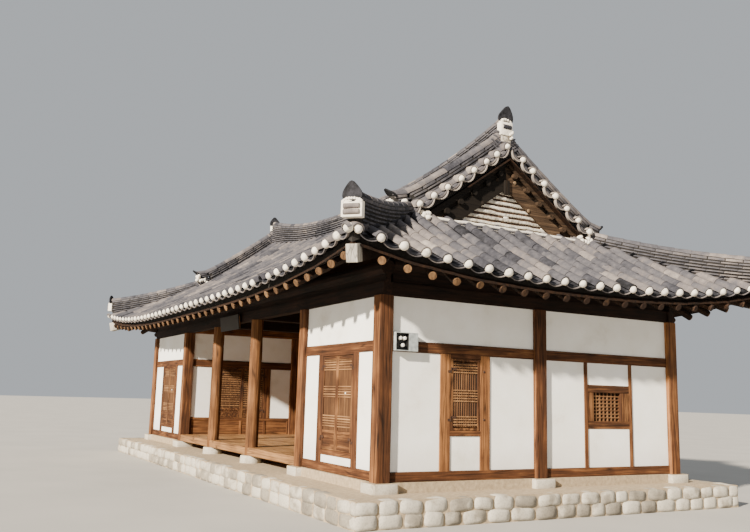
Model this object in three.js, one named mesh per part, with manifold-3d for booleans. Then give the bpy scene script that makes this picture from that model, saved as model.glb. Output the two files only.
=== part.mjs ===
// Hanok house: a single-storey timber house on a low stone platform, with an
// open wooden-floored hall of three bays between two closed heated rooms, under
// a curved hip-and-gable roof of clay tiles.
// Millimetres, +Z up. The origin is on the ground at the middle of the plan.
// The long open front faces -Y and the gable end with a door and a window +X.

import * as THREE from 'three';
import { mergeVertices } from 'three/addons/utils/BufferGeometryUtils.js';
import Module from 'manifold-3d';

const wasm = await Module();
wasm.setup();

// Driving dimensions: timber frame
const COLUMN_X = [-6275, -3375, -1075, 1275, 3675, 6275];
const COLUMN_Y = [-2900, -80, 2900];
const COLUMN_SIDE = 220;
const HALL_COLUMN_RADIUS = 125;
const PLASTER_X = 6309;
const PLASTER_Y = 2934;
const TIMBER_PROUD = 20;
const TIMBER_SET_IN = 80;
const LINING_PAST_COLUMN = 30;
const PARTITION_FACE = 50;
const GAP = 0.3;

// Driving dimensions: heights above the ground
const PLATFORM_TOP = 360;
const FOOTING_TOP = 500;
const BOTTOM_RAIL_TOP = 640;
const HALL_FLOOR_TOP = 650;
const ROOM_FLOOR_TOP = 780;
const SILL = [757, 834];
const MID_RAIL = [2311, 2468];
const BEAM_UNDERSIDE = 3100;
const TIE_BEAM_TOP = 3290;

// Driving dimensions: platform and hall floor
const PLATFORM_HALF = [7000, 3650];
const FOOTING_SIDE = 380;
const SKIRT_WIDTH = 200;
const FLOOR_BOARD = 60;
const FLOOR_MARGIN = 5;
const BED_DEPTH = 60;
const FLOOR_BEAM_WIDTH = 120;
const REAR_BOARDS = { back: 14, thickness: 40 };

// Driving dimensions: doors and window
const DOOR_HALF_WIDTH = 520;
const DOOR_HEAD = 2280;
const DOOR_FRAME = 160;
const FRONT_DOOR_X = { west: -4800, east: 4968 };
const END_DOOR_Y = [-1764, -1225];
const END_DOOR_Z = [1207, 2259];
const END_DOOR_FRAME = { side: 182, sill: 77 };
const HALL_DOOR_Y = [-2090, -900];
const HALL_DOOR_Z = [1060, 2290];
const WAIST_RAIL = [980, 1060];
const PANEL_SET_IN = 12;
const LEAF_THICKNESS = 36;
const LEAF_CLEARANCE = 5;
const LEAF_STILE = 46;
const LEAF_BACK = 8;
const LEAF_PANEL_TOP = 1140;
const HINGE_OFFSET = 8;
const HINGE_RADIUS = 5;
const HINGE_LENGTH = 40;
const HINGE_FROM_END = 170;
const WINDOW_Y = [940, 1873];
const WINDOW_Z = [1248, 1957];
const WINDOW_STUD = 71;
const WINDOW_DEPTH = 110;
const WINDOW_OPENING = { y: [1075, 1675], z: [1372, 1832] };

// Driving dimensions: roof. Heights are of the middle of the cover tiles.
const EAVE_HALF_X = 7410;
const EAVE_HALF_Y = 4030;
const CORNER_FLARE = 55;
const EAVE_HEIGHT = 3400;
const CORNER_RISE = 360;
const RISE_POWER_LONG = 3.6;
const RISE_POWER_END = 2.6;
const RIDGE_HEIGHT_MIDDLE = 5650;
const RIDGE_SAG = 430;
const RIDGE_HALF = 5400;
const SAG_POWER = 2.55;
const SLOPE_LINEAR = 0.74;
const VERGE_X = 5520;
const GABLE_X = 5360;
const COVER_ROWS = { pitch: 345, half: 98, crown: 58, above: 72, pan: 58 };
const RIDGE_SEAT = { half: 160, below: 80 };
const DECK_BELOW = 235;
const DECK_THICKNESS = 30;
const DECK_SETBACK = 70;
const KINK_Y = 1450;

// Driving dimensions: rafters
const RAFTER_RADIUS = 60;
const RAFTER_SPACING = 395;
const RAFTER_SETBACK = 100;
const RAFTER_BELOW_DECK = 55;
const FAN_BELOW_DECK = 80;
const CORNER_CLEAR = 280;
const CORNER_RAFTER = {
  width: 150, depth: 230, tip: 7400, tipHeight: 3425, pitch: 0.45, knee: { half: 40, rise: 8 },
};
const LOG_SIDES = 6;
const FAN_SPREAD = 60;
const PURLIN_RADIUS = 115;
const PURLIN_SIDES = 12;
const BEAM = { half: 75, strip: 45, crossHalf: 120, crossDepth: 300 };

// Driving dimensions: ridges and gables
const MAIN_RIDGE = {
  width: 280, cap: 190, capDrop: 110, half: 5440, middle: 6090, rise: 615, power: 2.5,
  tip: 125, tipLength: 140,
};
const DESCENDING = { x: 5330, width: 230, height: 320, start: 141, foot: 2480, hornFrom: 1900, horn: 250 };
const HIP_RIDGE = { width: 240, end: 7480, start: 5400, endHeight: 4260, linear: 130, square: 65 };
const RIDGE_BED = 150;
const RIDGE_PURLIN = { radius: 100, below: 195 };
const GABLE_THICKNESS = 120;
const GABLE_HALF = 1850;
const GABLE_SILL = 4400;
const BARGE = { thickness: 60, peak: 5300, slope: 0.704, half: 1950, foot: 4440 };

// Driving dimensions: small fittings
const PLAQUE = { width: 1130, height: 300, thickness: 45, low: 2965, off: 12, tilt: 0.12, hookX: 300 };
const METER_BOX = { y: [-2780, -2410], z: [2320, 2580], depth: 105, wall: 10, open: 220 };

const house = new THREE.Group();
house.name = 'hanok_house';

// Materials

const looks = {
  stone: { color: 0x9a948a, roughness: 0.9, metalness: 0 },
  wood: { color: 0x6b5442, roughness: 0.75, metalness: 0 },
  rafter: { color: 0x94724e, roughness: 0.75, metalness: 0 },
  plaster: { color: 0xe6e1d4, roughness: 0.9, metalness: 0 },
  floor: { color: 0x7a5a3c, roughness: 0.6, metalness: 0 },
  lattice: { color: 0x5a4636, roughness: 0.7, metalness: 0 },
  tile: { color: 0x6e7278, roughness: 0.7, metalness: 0 },
  ridge: { color: 0x5d6066, roughness: 0.7, metalness: 0 },
  infill: { color: 0xb7a995, roughness: 0.9, metalness: 0 },
  metal: { color: 0x9aa0a4, roughness: 0.6, metalness: 0.3 },
};

function add(name, solid, look) {
  const mesh = new THREE.Mesh(geometryOf(solid), new THREE.MeshStandardMaterial(looks[look]));
  mesh.name = name;
  house.add(mesh);
}

// Solids: a three.js geometry as a manifold, and back

function solidOf(geometry) {
  const bare = geometry.clone();
  bare.deleteAttribute('normal');
  bare.deleteAttribute('uv');
  const merged = mergeVertices(bare, 1e-3);
  return new wasm.Manifold(new wasm.Mesh({
    numProp: 3,
    vertProperties: new Float32Array(merged.attributes.position.array),
    triVerts: new Uint32Array(merged.index.array),
  }));
}

function geometryOf(solid) {
  const mesh = solid.getMesh();
  const geometry = new THREE.BufferGeometry();
  geometry.setAttribute('position', new THREE.BufferAttribute(mesh.vertProperties, 3));
  geometry.setIndex(new THREE.BufferAttribute(mesh.triVerts, 1));
  geometry.computeVertexNormals();
  return geometry;
}

function join(solids) {
  return solids.reduce((whole, solid) => whole.add(solid));
}

function box([x0, x1], [y0, y1], [z0, z1]) {
  const geometry = new THREE.BoxGeometry(Math.abs(x1 - x0), Math.abs(y1 - y0), Math.abs(z1 - z0));
  return solidOf(geometry.translate((x0 + x1) / 2, (y0 + y1) / 2, (z0 + z1) / 2));
}

const around = (middle, half) => [middle - half, middle + half];

// A timber is three spans, kept as numbers so that its groove can be cut too.
function grown(spans, gap = GAP) {
  return spans.map(([low, high]) => [Math.min(low, high) - gap, Math.max(low, high) + gap]);
}

function timbers(list) {
  return join(list.map((spans) => box(...spans)));
}

function cutFor(solid, list, gap = GAP) {
  return list.reduce((rest, spans) => rest.subtract(box(...grown(spans, gap))), solid);
}

function upright(x, y, radius, [z0, z1], sides) {
  const geometry = new THREE.CylinderGeometry(radius, radius, z1 - z0, sides);
  return solidOf(geometry.rotateX(Math.PI / 2).translate(x, y, (z0 + z1) / 2));
}

function prism(points, depth) {
  const shape = new THREE.Shape(points.map(([x, y]) => new THREE.Vector2(x, y)));
  return new THREE.ExtrudeGeometry(shape, { depth, bevelEnabled: false });
}

// A bar of round or square section between two points, cut square at its ends.
function bar(from, to, geometry) {
  const start = new THREE.Vector3(...from);
  const along = new THREE.Vector3(...to).sub(start);
  const forward = along.clone().normalize();
  const side = forward.clone().cross(new THREE.Vector3(0, 0, 1)).normalize();
  const up = side.clone().cross(forward);
  const turn = new THREE.Matrix4().makeBasis(side, forward, up);
  const middle = start.clone().addScaledVector(along, 0.5);
  return solidOf(geometry(along.length()).applyMatrix4(turn.setPosition(middle)));
}

const log = (radius, sides) => (length) => {
  const round = new THREE.CylinderGeometry(radius, radius, length, sides);
  return round.rotateY(Math.PI / sides);
};
const squared = (width, depth) => (length) => new THREE.BoxGeometry(width, length, depth);

// A closed slab over a grid of plan points, between two heights at each point.
function slab(columns, rows, plan, top, bottom) {
  const position = [];
  const index = [];
  const level = (columns + 1) * (rows + 1);
  for (const height of [top, bottom]) {
    for (let j = 0; j <= rows; j += 1) {
      for (let i = 0; i <= columns; i += 1) {
        const [x, y] = plan(i / columns, j / rows);
        position.push(x, y, height(x, y));
      }
    }
  }
  const at = (i, j) => j * (columns + 1) + i;
  const quad = (a, b, c, d) => index.push(a, b, c, a, c, d);
  for (let j = 0; j < rows; j += 1) {
    for (let i = 0; i < columns; i += 1) {
      const [a, b, c, d] = [at(i, j), at(i + 1, j), at(i + 1, j + 1), at(i, j + 1)];
      const [p, q, r, s] = i < columns / 2 ? [a, b, c, d] : [b, c, d, a];
      quad(p, q, r, s);
      quad(p + level, s + level, r + level, q + level);
    }
  }
  const edge = (a, b) => quad(b, a, a + level, b + level);
  for (let i = 0; i < columns; i += 1) {
    edge(at(i, 0), at(i + 1, 0));
    edge(at(i + 1, rows), at(i, rows));
  }
  for (let j = 0; j < rows; j += 1) {
    edge(at(columns, j), at(columns, j + 1));
    edge(at(0, j + 1), at(0, j));
  }
  const geometry = new THREE.BufferGeometry();
  geometry.setAttribute('position', new THREE.Float32BufferAttribute(position, 3));
  geometry.setIndex(index);
  return solidOf(geometry);
}

// Roof surfaces. A long slope's height is found from x and the distance out from the
// ridge, an end slope's from its own x and y. Each is built once and turned for its twin.

const CORNER = [EAVE_HALF_X + CORNER_FLARE, EAVE_HALF_Y + CORNER_FLARE];
const HIP_SHIFT = CORNER[0] - CORNER[1];
const eaveOfFront = (x) => EAVE_HALF_Y + CORNER_FLARE * (Math.abs(x) / CORNER[0]) ** RISE_POWER_LONG;
const eaveOfEnd = (y) => EAVE_HALF_X + CORNER_FLARE * (Math.abs(y) / CORNER[1]) ** RISE_POWER_END;
const frontEaveHeight = (x) => EAVE_HEIGHT + CORNER_RISE * (Math.abs(x) / CORNER[0]) ** RISE_POWER_LONG;
const endEaveHeight = (y) => EAVE_HEIGHT + CORNER_RISE * (Math.abs(y) / CORNER[1]) ** RISE_POWER_END;
const climb = (t) => SLOPE_LINEAR * t + (1 - SLOPE_LINEAR) * t * t;

function ridgeHeight(x) {
  return RIDGE_HEIGHT_MIDDLE + RIDGE_SAG * Math.min(1, Math.abs(x) / RIDGE_HALF) ** SAG_POWER;
}

function frontSurface(x, out) {
  const t = (eaveOfFront(x) - out) / eaveOfFront(x);
  const eave = frontEaveHeight(x);
  return eave + (ridgeHeight(x) - eave) * climb(t);
}

function endSurface(x, y) {
  const t = (eaveOfEnd(y) - Math.abs(x)) / EAVE_HALF_Y;
  const eave = endEaveHeight(y);
  return eave + (RIDGE_HEIGHT_MIDDLE + RIDGE_SAG - eave) * climb(t);
}

// The undersides of the boarding: straight between the eave, the kink and the ridge.
function mix(a, b, t) {
  return a + (b - a) * t;
}

const steps = (from, to, count) => Array.from({ length: count + 1 }, (_, i) => mix(from, to, i / count));

function frontBoarding(x, out) {
  const eave = eaveOfFront(x);
  const kink = frontSurface(x, KINK_Y);
  const height = out > KINK_Y
    ? mix(frontEaveHeight(x), kink, (eave - out) / (eave - KINK_Y))
    : mix(kink, ridgeHeight(x), 1 - out / KINK_Y);
  return height - DECK_BELOW;
}

function endBoarding(x, y) {
  const eave = eaveOfEnd(y);
  const t = (eave - Math.abs(x)) / (eave - GABLE_X);
  return mix(endEaveHeight(y), endSurface(GABLE_X, y), t) - DECK_BELOW;
}

// Outlines in plan. A positive reach goes past the seams with the neighbours.
function frontOutline(reach, verge = VERGE_X) {
  const far = CORNER[0] + 400;
  const hip = (x) => -(x - HIP_SHIFT) + reach;
  return [
    [-far, hip(far)], [far, hip(far)], [verge, hip(verge)],
    [verge, reach], [-verge, reach], [-verge, hip(verge)],
  ];
}

function endOutline(reach) {
  const near = GABLE_X + GAP;
  const far = CORNER[0] + 400;
  const half = (x) => x - HIP_SHIFT + reach;
  return [[near, -half(near)], [far, -half(far)], [far, half(far)], [near, half(near)]];
}

function within(solid, outline) {
  return solid.intersect(solidOf(prism(outline, 9000)));
}

// Half of the rows lie outside the kink, so that both halves stay straight, and the last
// row lies past the ridge line, so that layers cut at different seams have the same faces.
function frontLayer([columns, rows], setback, top, bottom, reach, places) {
  const plan = (u, v) => {
    const x = places ? places[Math.round(u * columns)] : mix(setback - CORNER[0], CORNER[0] - setback, u);
    const eave = setback - eaveOfFront(x);
    const y = v < 0.5 ? mix(eave, -KINK_Y, v * 2) : mix(-KINK_Y, PAST_RIDGE, v * 2 - 1);
    return [x, y];
  };
  const outward = (height) => (x, y) => height(x, -y);
  return within(slab(columns, rows, plan, outward(top), outward(bottom)), frontOutline(reach));
}

function endLayer([columns, rows], setback, top, bottom, reach, places) {
  const plan = (u, v) => {
    const y = places ? places[Math.round(u * columns)] : mix(setback - CORNER[1], CORNER[1] - setback, u);
    return [mix(eaveOfEnd(y) - setback, GABLE_X, v), y];
  };
  return within(slab(columns, rows, plan, top, bottom), endOutline(reach));
}

const lifted = (height, by) => (x, y) => height(x, y) + by;
const turned = (solid) => solid.rotate([0, 0, 180]);
const SEAM = -0.2;
const OVER_SEAM = 2;
const PAST_RIDGE = 5;
const ROW_CLEARANCE = 1;
const ABOVE_WALLS = [TIE_BEAM_TOP, 7000];
const FRONT_GRID = { tileRows: 4, seat: [20, 4], boards: [12, 2] };
const END_GRID = { tileRows: 2, boards: [8, 1] };

// Each cutter is a layer carried a little past the seams and the eave.
const PAST_EAVE = -20;

// The boarding, and all below it, for cutting the slab that lies on it.
function bedCutter(layer, grid, boarding) {
  return layer(grid, PAST_EAVE, lifted(boarding, DECK_THICKNESS + GAP), lifted(boarding, -400), OVER_SEAM);
}

// All that lies above the boarding, for trimming logs that would break through it.
function trimmed(solid) {
  const above = (layer, grid, boarding) => layer(
    grid, PAST_EAVE, lifted(boarding, 900), lifted(boarding, DECK_THICKNESS + GAP / 3), OVER_SEAM,
  );
  return solid.subtract(above(frontLayer, FRONT_GRID.boards, frontBoarding))
    .subtract(above(endLayer, END_GRID.boards, endBoarding));
}

// The boarding itself stops short of the tiles' edge.
function frontBoards() {
  const edge = steps(DECK_SETBACK - CORNER[0], CORNER[0] - DECK_SETBACK, 12);
  const outline = [...edge.map((x) => [x, DECK_SETBACK - eaveOfFront(x)]), [edge[12], 10], [edge[0], 10]];
  const top = lifted(frontBoarding, DECK_THICKNESS);
  return within(frontLayer(FRONT_GRID.boards, PAST_EAVE, top, frontBoarding, SEAM), outline);
}

function endBoards() {
  const edge = steps(DECK_SETBACK - CORNER[1], CORNER[1] - DECK_SETBACK, 8);
  const curve = edge.map((y) => [eaveOfEnd(y) - DECK_SETBACK, y]);
  const outline = [...curve, [GABLE_X - 10, edge[8]], [GABLE_X - 10, edge[0]]];
  const top = lifted(endBoarding, DECK_THICKNESS);
  return within(endLayer(END_GRID.boards, PAST_EAVE, top, endBoarding, SEAM), outline);
}

// Cover tiles stand up from the pans in rows: the places along an eave where their sides
// start and end, and how far the tiles rise above or lie below the surface at each place.
function rowPlaces(far, grown) {
  const { pitch, half, crown } = COVER_ROWS;
  const side = [];
  for (let row = pitch / 2; row - half < far; row += pitch) {
    const breaks = [row - half - grown, row - crown - grown, row + crown + grown, row + half + grown];
    side.push(...breaks.filter((at) => at < far));
  }
  side.push(far);
  return [...side.map((at) => -at).reverse(), 0, ...side];
}

function rowRise(at, grown) {
  const { pitch, half, crown, above, pan } = COVER_ROWS;
  const fromRow = Math.abs((Math.abs(at) % pitch) - pitch / 2) - grown;
  const t = Math.min(1, Math.max(0, (half - fromRow) / (half - crown)));
  return mix(-pan, above, t);
}

function frontTiles(reach, raise) {
  const grown = raise ? ROW_CLEARANCE : 0;
  const places = rowPlaces(CORNER[0], grown);
  const top = (x, out) => frontSurface(x, out) + rowRise(x, grown) + raise;
  const grid = [places.length - 1, FRONT_GRID.tileRows];
  return frontLayer(grid, 0, top, lifted(frontBoarding, -20), reach, places).subtract(ridgeSeat(raise));
}

// The rows stop short of the main ridge, which stands on a level strip of the bed.
function ridgeSeat(raise) {
  const { half, below } = RIDGE_SEAT;
  const top = lifted(frontSurface, 600);
  const strip = frontLayer(FRONT_GRID.seat, PAST_EAVE, top, lifted(frontSurface, raise - below), OVER_SEAM);
  return strip.intersect(box(around(0, CORNER[0] + 400), around(0, half), ABOVE_WALLS));
}

function endTiles(reach, raise) {
  const grown = raise ? ROW_CLEARANCE : 0;
  const places = rowPlaces(CORNER[1], grown);
  const top = (x, y) => endSurface(x, y) + rowRise(y, grown) + raise;
  const grid = [places.length - 1, END_GRID.tileRows];
  return endLayer(grid, 0, top, lifted(endBoarding, -20), reach, places);
}

// Both long slopes and all above them, for cutting what stands under their boarding.
function roofAbove() {
  const above = frontLayer(
    FRONT_GRID.boards, PAST_EAVE, lifted(frontBoarding, 2500), lifted(frontBoarding, -GAP), OVER_SEAM,
  );
  return above.add(turned(above));
}

// Where the verge of a long slope runs out over an end slope, the end slope gives way.
function vergeCutter() {
  const strip = box([GABLE_X - 20, VERGE_X + GAP], around(0, CORNER[1]), ABOVE_WALLS);
  return strip.intersect(roofAbove());
}

// Tiled slopes with their bed of earth
function addTiles() {
  const front = frontTiles(SEAM, 0).subtract(bedCutter(frontLayer, FRONT_GRID.boards, frontBoarding));
  const wholeEnd = endTiles(SEAM, 0).subtract(bedCutter(endLayer, END_GRID.boards, endBoarding));
  const east = wholeEnd.subtract(vergeCutter());
  add('roof_tiles_front', front, 'tile');
  add('roof_tiles_rear', turned(front), 'tile');
  add('roof_tiles_east', east, 'tile');
  add('roof_tiles_west', turned(east), 'tile');
}

// Rafters: straight logs under the boarding, fanned out beside the corner rafters

const FAN_APEX = [GABLE_X + 90, GABLE_X + 90 - HIP_SHIFT];
const FLAT_OF_LOG = RAFTER_RADIUS * Math.cos(Math.PI / LOG_SIDES);
const HALF_PURLIN_FACE = Math.PI / PURLIN_SIDES;

// The height of a purlin's axis whose faces meet the undersides of sloping logs.
function purlinHeight(boarding, pitch) {
  const lean = Math.atan(pitch) % (2 * HALF_PURLIN_FACE);
  const reach = PURLIN_RADIUS * Math.cos(lean - HALF_PURLIN_FACE);
  return boarding - RAFTER_BELOW_DECK - (FLAT_OF_LOG + reach + GAP) * Math.hypot(1, pitch);
}

// The purlins' axes, set so that the straight rafters lie on them at the middle of each wall.
const PURLIN_Z = {
  front: purlinHeight(
    frontBoarding(0, COLUMN_Y[2]),
    (frontBoarding(0, KINK_Y) - frontBoarding(0, EAVE_HALF_Y)) / (EAVE_HALF_Y - KINK_Y),
  ),
  end: purlinHeight(
    endBoarding(COLUMN_X[5], 0),
    (endBoarding(GABLE_X, 0) - endBoarding(EAVE_HALF_X, 0)) / (EAVE_HALF_X - GABLE_X),
  ),
};

// The corner rafter lies on the end purlin, runs out level to its tip and climbs behind it.
function cornerRafter(gap = 0) {
  const { width, depth, tip, tipHeight, pitch, knee } = CORNER_RAFTER;
  const section = squared(width + 2 * gap, depth + 2 * gap);
  const onHip = (x, z) => [x, HIP_SHIFT - x, z];
  const seat = PURLIN_Z.end + PURLIN_RADIUS * Math.cos(HALF_PURLIN_FACE) + GAP + depth / 2;
  const bend = COLUMN_X[5];
  const head = FAN_APEX[0] - FAN_SPREAD - 4 * gap;
  return join([
    bar(onHip(bend, seat), onHip(tip + gap, tipHeight), section),
    bar(onHip(head, seat + (bend - head) * pitch), onHip(bend, seat), section),
    bar(onHip(bend - knee.half, seat + knee.rise), onHip(bend + knee.half, seat - knee.rise), section),
  ]);
}

// Places along an eave: the straight rafters, and the fanned ones on one side.
function rafterPlaces(straightTo, corner) {
  const count = Math.floor(straightTo / RAFTER_SPACING);
  const straight = Array.from({ length: 2 * count + 1 }, (_, i) => (i - count) * RAFTER_SPACING);
  const fanned = [];
  for (let at = (count + 1) * RAFTER_SPACING; at < corner - CORNER_CLEAR; at += RAFTER_SPACING) {
    fanned.push(at);
  }
  return { straight, fanned };
}

const LOG = log(RAFTER_RADIUS, LOG_SIDES);

function frontRafters() {
  const { straight, fanned } = rafterPlaces(FAN_APEX[0] - FAN_SPREAD, CORNER[0]);
  const under = (x, y, below) => [x, y, frontBoarding(x, -y) - below];
  const foot = (x) => RAFTER_SETBACK - eaveOfFront(x);
  const logs = straight.map((x) => bar(
    under(x, foot(x), RAFTER_BELOW_DECK), under(x, -KINK_Y, RAFTER_BELOW_DECK), LOG,
  ));
  for (const side of [-1, 1]) {
    const head = under(side * (FAN_APEX[0] - FAN_SPREAD), -FAN_APEX[1], FAN_BELOW_DECK);
    fanned.forEach((x) => logs.push(bar(under(side * x, foot(x), FAN_BELOW_DECK), head, LOG)));
  }
  return join(logs).intersect(solidOf(prism(frontOutline(SEAM, GABLE_X), 9000)));
}

function endRafters() {
  const { straight, fanned } = rafterPlaces(FAN_APEX[1] - FAN_SPREAD, CORNER[1]);
  const under = (x, y, below) => [x, y, endBoarding(x, y) - below];
  const foot = (y) => eaveOfEnd(y) - RAFTER_SETBACK;
  const logs = straight.map((y) => bar(
    under(foot(y), y, RAFTER_BELOW_DECK), under(GABLE_X + 15, y, RAFTER_BELOW_DECK), LOG,
  ));
  for (const side of [-1, 1]) {
    const head = under(FAN_APEX[0], side * (FAN_APEX[1] - FAN_SPREAD), FAN_BELOW_DECK);
    fanned.forEach((y) => logs.push(bar(under(foot(y), side * y, FAN_BELOW_DECK), head, LOG)));
  }
  return join(logs).intersect(solidOf(prism(endOutline(SEAM), 9000)));
}

// Tiny hollows shut in between logs and boards are filled: only the outer skin is kept.
function outerSkin(solid) {
  const shells = solid.decompose().sort((a, b) => b.volume() - a.volume());
  return shells[0];
}

function addRafters() {
  const mirrored = (solid, x, y) => solid.mirror([x, y, 0]);
  const cutter = cornerRafter(GAP);
  const front = frontBoards().add(frontRafters())
    .subtract(cutter).subtract(mirrored(cutter, 1, 0));
  const corner = cornerRafter();
  const inside = box([0, GABLE_X + GAP], around(0, CORNER[1]), ABOVE_WALLS);
  const east = endBoards().subtract(vergeCutter()).add(endRafters())
    .add(corner).add(mirrored(corner, 0, 1)).subtract(inside);
  const long = outerSkin(trimmed(front));
  const end = outerSkin(trimmed(east));
  add('rafters_front', long, 'rafter');
  add('rafters_rear', turned(long), 'rafter');
  add('rafters_east', end, 'rafter');
  add('rafters_west', turned(end), 'rafter');
}

// Tie beams with the round purlins that carry the rafters

function eaveBeam({ at, beamHalf, purlinHalf }, axisZ, along) {
  const placedAlong = (length, width) => (along === 'x' ? [length, width] : [width, length]);
  const end = (sign) => [...placedAlong(sign * purlinHalf, at), axisZ];
  return join([
    box(...placedAlong(around(0, beamHalf), around(at, BEAM.half)), [BEAM_UNDERSIDE, TIE_BEAM_TOP]),
    box(...placedAlong(around(0, purlinHalf), around(at, BEAM.strip)), [TIE_BEAM_TOP - 10, axisZ]),
    bar(end(-1), end(1), log(PURLIN_RADIUS, PURLIN_SIDES)),
  ]);
}

function addBeams() {
  const reach = COLUMN_X[5] + COLUMN_SIDE / 2;
  const long = { at: COLUMN_Y[0], beamHalf: reach, purlinHalf: reach };
  const between = {
    at: COLUMN_X[5],
    beamHalf: COLUMN_Y[2] - BEAM.half - GAP,
    purlinHalf: COLUMN_Y[2] - PURLIN_RADIUS - GAP,
  };
  const front = eaveBeam(long, PURLIN_Z.front, 'x');
  const east = eaveBeam(between, PURLIN_Z.end, 'y');
  add('front_eave_beam', front, 'wood');
  add('rear_eave_beam', turned(front), 'wood');
  add('east_eave_beam', east, 'wood');
  add('west_eave_beam', turned(east), 'wood');
  add('hall_crossbeam_west', crossbeam(COLUMN_X[2]), 'wood');
  add('hall_crossbeam_east', crossbeam(COLUMN_X[3]), 'wood');
  add('ridge_purlin', ridgePurlin(), 'wood');
}

function crossbeam(x) {
  return box(
    around(x, BEAM.crossHalf), around(0, COLUMN_Y[2] - BEAM.half - GAP),
    [BEAM_UNDERSIDE, BEAM_UNDERSIDE + BEAM.crossDepth],
  );
}

// A log that follows the sag of the ridge in straight lengths, held between the gables.
function ridgePurlin() {
  const { radius, below } = RIDGE_PURLIN;
  const half = GABLE_X - GABLE_THICKNESS;
  const joints = steps(-half - 20, half + 20, 4).map((x) => [x, 0, frontBoarding(x, 0) - below]);
  const lengths = joints.slice(1).map((joint, i) => bar(joints[i], joint, log(radius, 8)));
  return join(lengths).intersect(box(around(0, half - GAP), around(0, 2 * radius), ABOVE_WALLS));
}

// Ridges: stacked tiles over the seams of the slopes, resting on the tiles

function loft(rings) {
  const count = rings[0].length;
  const position = rings.flat(2);
  const index = [];
  const at = (i, j) => i * count + (j % count);
  for (let i = 0; i + 1 < rings.length; i += 1) {
    for (let j = 0; j < count; j += 1) {
      index.push(at(i, j), at(i + 1, j), at(i + 1, j + 1), at(i, j), at(i + 1, j + 1), at(i, j + 1));
    }
  }
  const last = rings.length - 1;
  for (let j = 1; j + 1 < count; j += 1) {
    index.push(at(0, 0), at(0, j), at(0, j + 1), at(last, 0), at(last, j + 1), at(last, j));
  }
  const geometry = new THREE.BufferGeometry();
  geometry.setAttribute('position', new THREE.Float32BufferAttribute(position, 3));
  geometry.setIndex(index);
  return solidOf(geometry);
}

function mainRidge() {
  const { width, cap, capDrop, half, middle, rise, power, tip, tipLength } = MAIN_RIDGE;
  const top = (x) => middle + rise * (Math.abs(x) / half) ** power;
  const places = steps(tipLength - half, half - tipLength, 10);
  const ring = (x, high) => {
    const low = ridgeHeight(x) - RIDGE_BED;
    return [
      [x, -width / 2, low], [x, -width / 2, high - capDrop], [x, -cap / 2, high],
      [x, cap / 2, high], [x, width / 2, high - capDrop], [x, width / 2, low],
    ];
  };
  const rings = places.map((x) => ring(x, top(x)));
  return loft([ring(-half, top(half) + tip), ...rings, ring(half, top(half) + tip)]);
}

// The ridge that runs down the verge to its foot, and the hip ridge on to the corner.
function cornerRidge() {
  const slope = DESCENDING;
  const topOf = (y) => {
    const past = Math.max(0, (y - slope.hornFrom) / (slope.foot - slope.hornFrom));
    return frontSurface(slope.x, y) + slope.height + slope.horn * past * past;
  };
  const wall = (x, y, sideX, sideY, low, high) => [
    [x - sideX, y - sideY, low], [x - sideX, y - sideY, high],
    [x + sideX, y + sideY, high], [x + sideX, y + sideY, low],
  ];
  const down = steps(slope.start, slope.foot, 6).map((y) => wall(
    slope.x, -y, slope.width / 2, 0, frontSurface(slope.x, y) - RIDGE_BED, topOf(y),
  ));
  const hip = HIP_RIDGE;
  const side = hip.width / 2 * Math.SQRT1_2;
  const station = (x, bed) => {
    const u = (hip.end - x) / 1000;
    const high = hip.endHeight + hip.linear * u + hip.square * u * u;
    const y = x - HIP_SHIFT;
    return wall(x, -y, side, side, frontSurface(Math.min(x, CORNER[0]), y) + bed, high);
  };
  const seated = steps(hip.start, hip.end - 250, 4).map((x) => station(x, -RIDGE_BED));
  const overhang = steps(hip.end - 200, hip.end, 1).map((x) => station(x, COVER_ROWS.above + 10));
  const out = [...seated, ...overhang];
  return loft(down).add(loft(out));
}

function addRidges() {
  const front = frontTiles(OVER_SEAM, GAP);
  const end = endTiles(OVER_SEAM, GAP);
  const main = mainRidge().subtract(front).subtract(turned(front));
  const east = cornerRidge().subtract(front).subtract(end);
  const west = cornerRidge().mirror([1, 0, 0]).subtract(front).subtract(turned(end));
  add('main_ridge', main, 'ridge');
  add('corner_ridge_front_east', east, 'ridge');
  add('corner_ridge_front_west', west, 'ridge');
  add('corner_ridge_rear_east', turned(west), 'ridge');
  add('corner_ridge_rear_west', turned(east), 'ridge');
}

// Gables: an infill of lime and tile courses behind wide barge boards

const ALONG_X = new THREE.Matrix4().makeBasis(
  new THREE.Vector3(0, 1, 0), new THREE.Vector3(0, 0, 1), new THREE.Vector3(1, 0, 0),
);

function acrossEnd(points, [x0, x1]) {
  return solidOf(prism(points, x1 - x0).applyMatrix4(ALONG_X).translate(x0, 0, 0));
}

function addGables() {
  const inner = GABLE_X - GABLE_THICKNESS;
  const high = RIDGE_HEIGHT_MIDDLE + RIDGE_SAG;
  const roof = roofAbove();
  const infill = acrossEnd([
    [-GABLE_HALF, GABLE_SILL], [GABLE_HALF, GABLE_SILL], [GABLE_HALF, high], [-GABLE_HALF, high],
  ], [inner, GABLE_X]).subtract(roof);
  const reach = (BARGE.peak - BARGE.foot) / BARGE.slope;
  const boards = acrossEnd([
    [-BARGE.half, BARGE.foot], [-reach, BARGE.foot], [0, BARGE.peak], [reach, BARGE.foot],
    [BARGE.half, BARGE.foot], [BARGE.half, high], [-BARGE.half, high],
  ], [GABLE_X + GAP, GABLE_X + BARGE.thickness]).subtract(roof).subtract(endTiles(OVER_SEAM, GAP));
  add('gable_infill_east', infill, 'infill');
  add('gable_infill_west', turned(infill), 'infill');
  add('barge_boards_east', boards, 'wood');
  add('barge_boards_west', turned(boards), 'wood');
}

// Platform: one mass of stone and clay, with footings, skirts and heated floors

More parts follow.
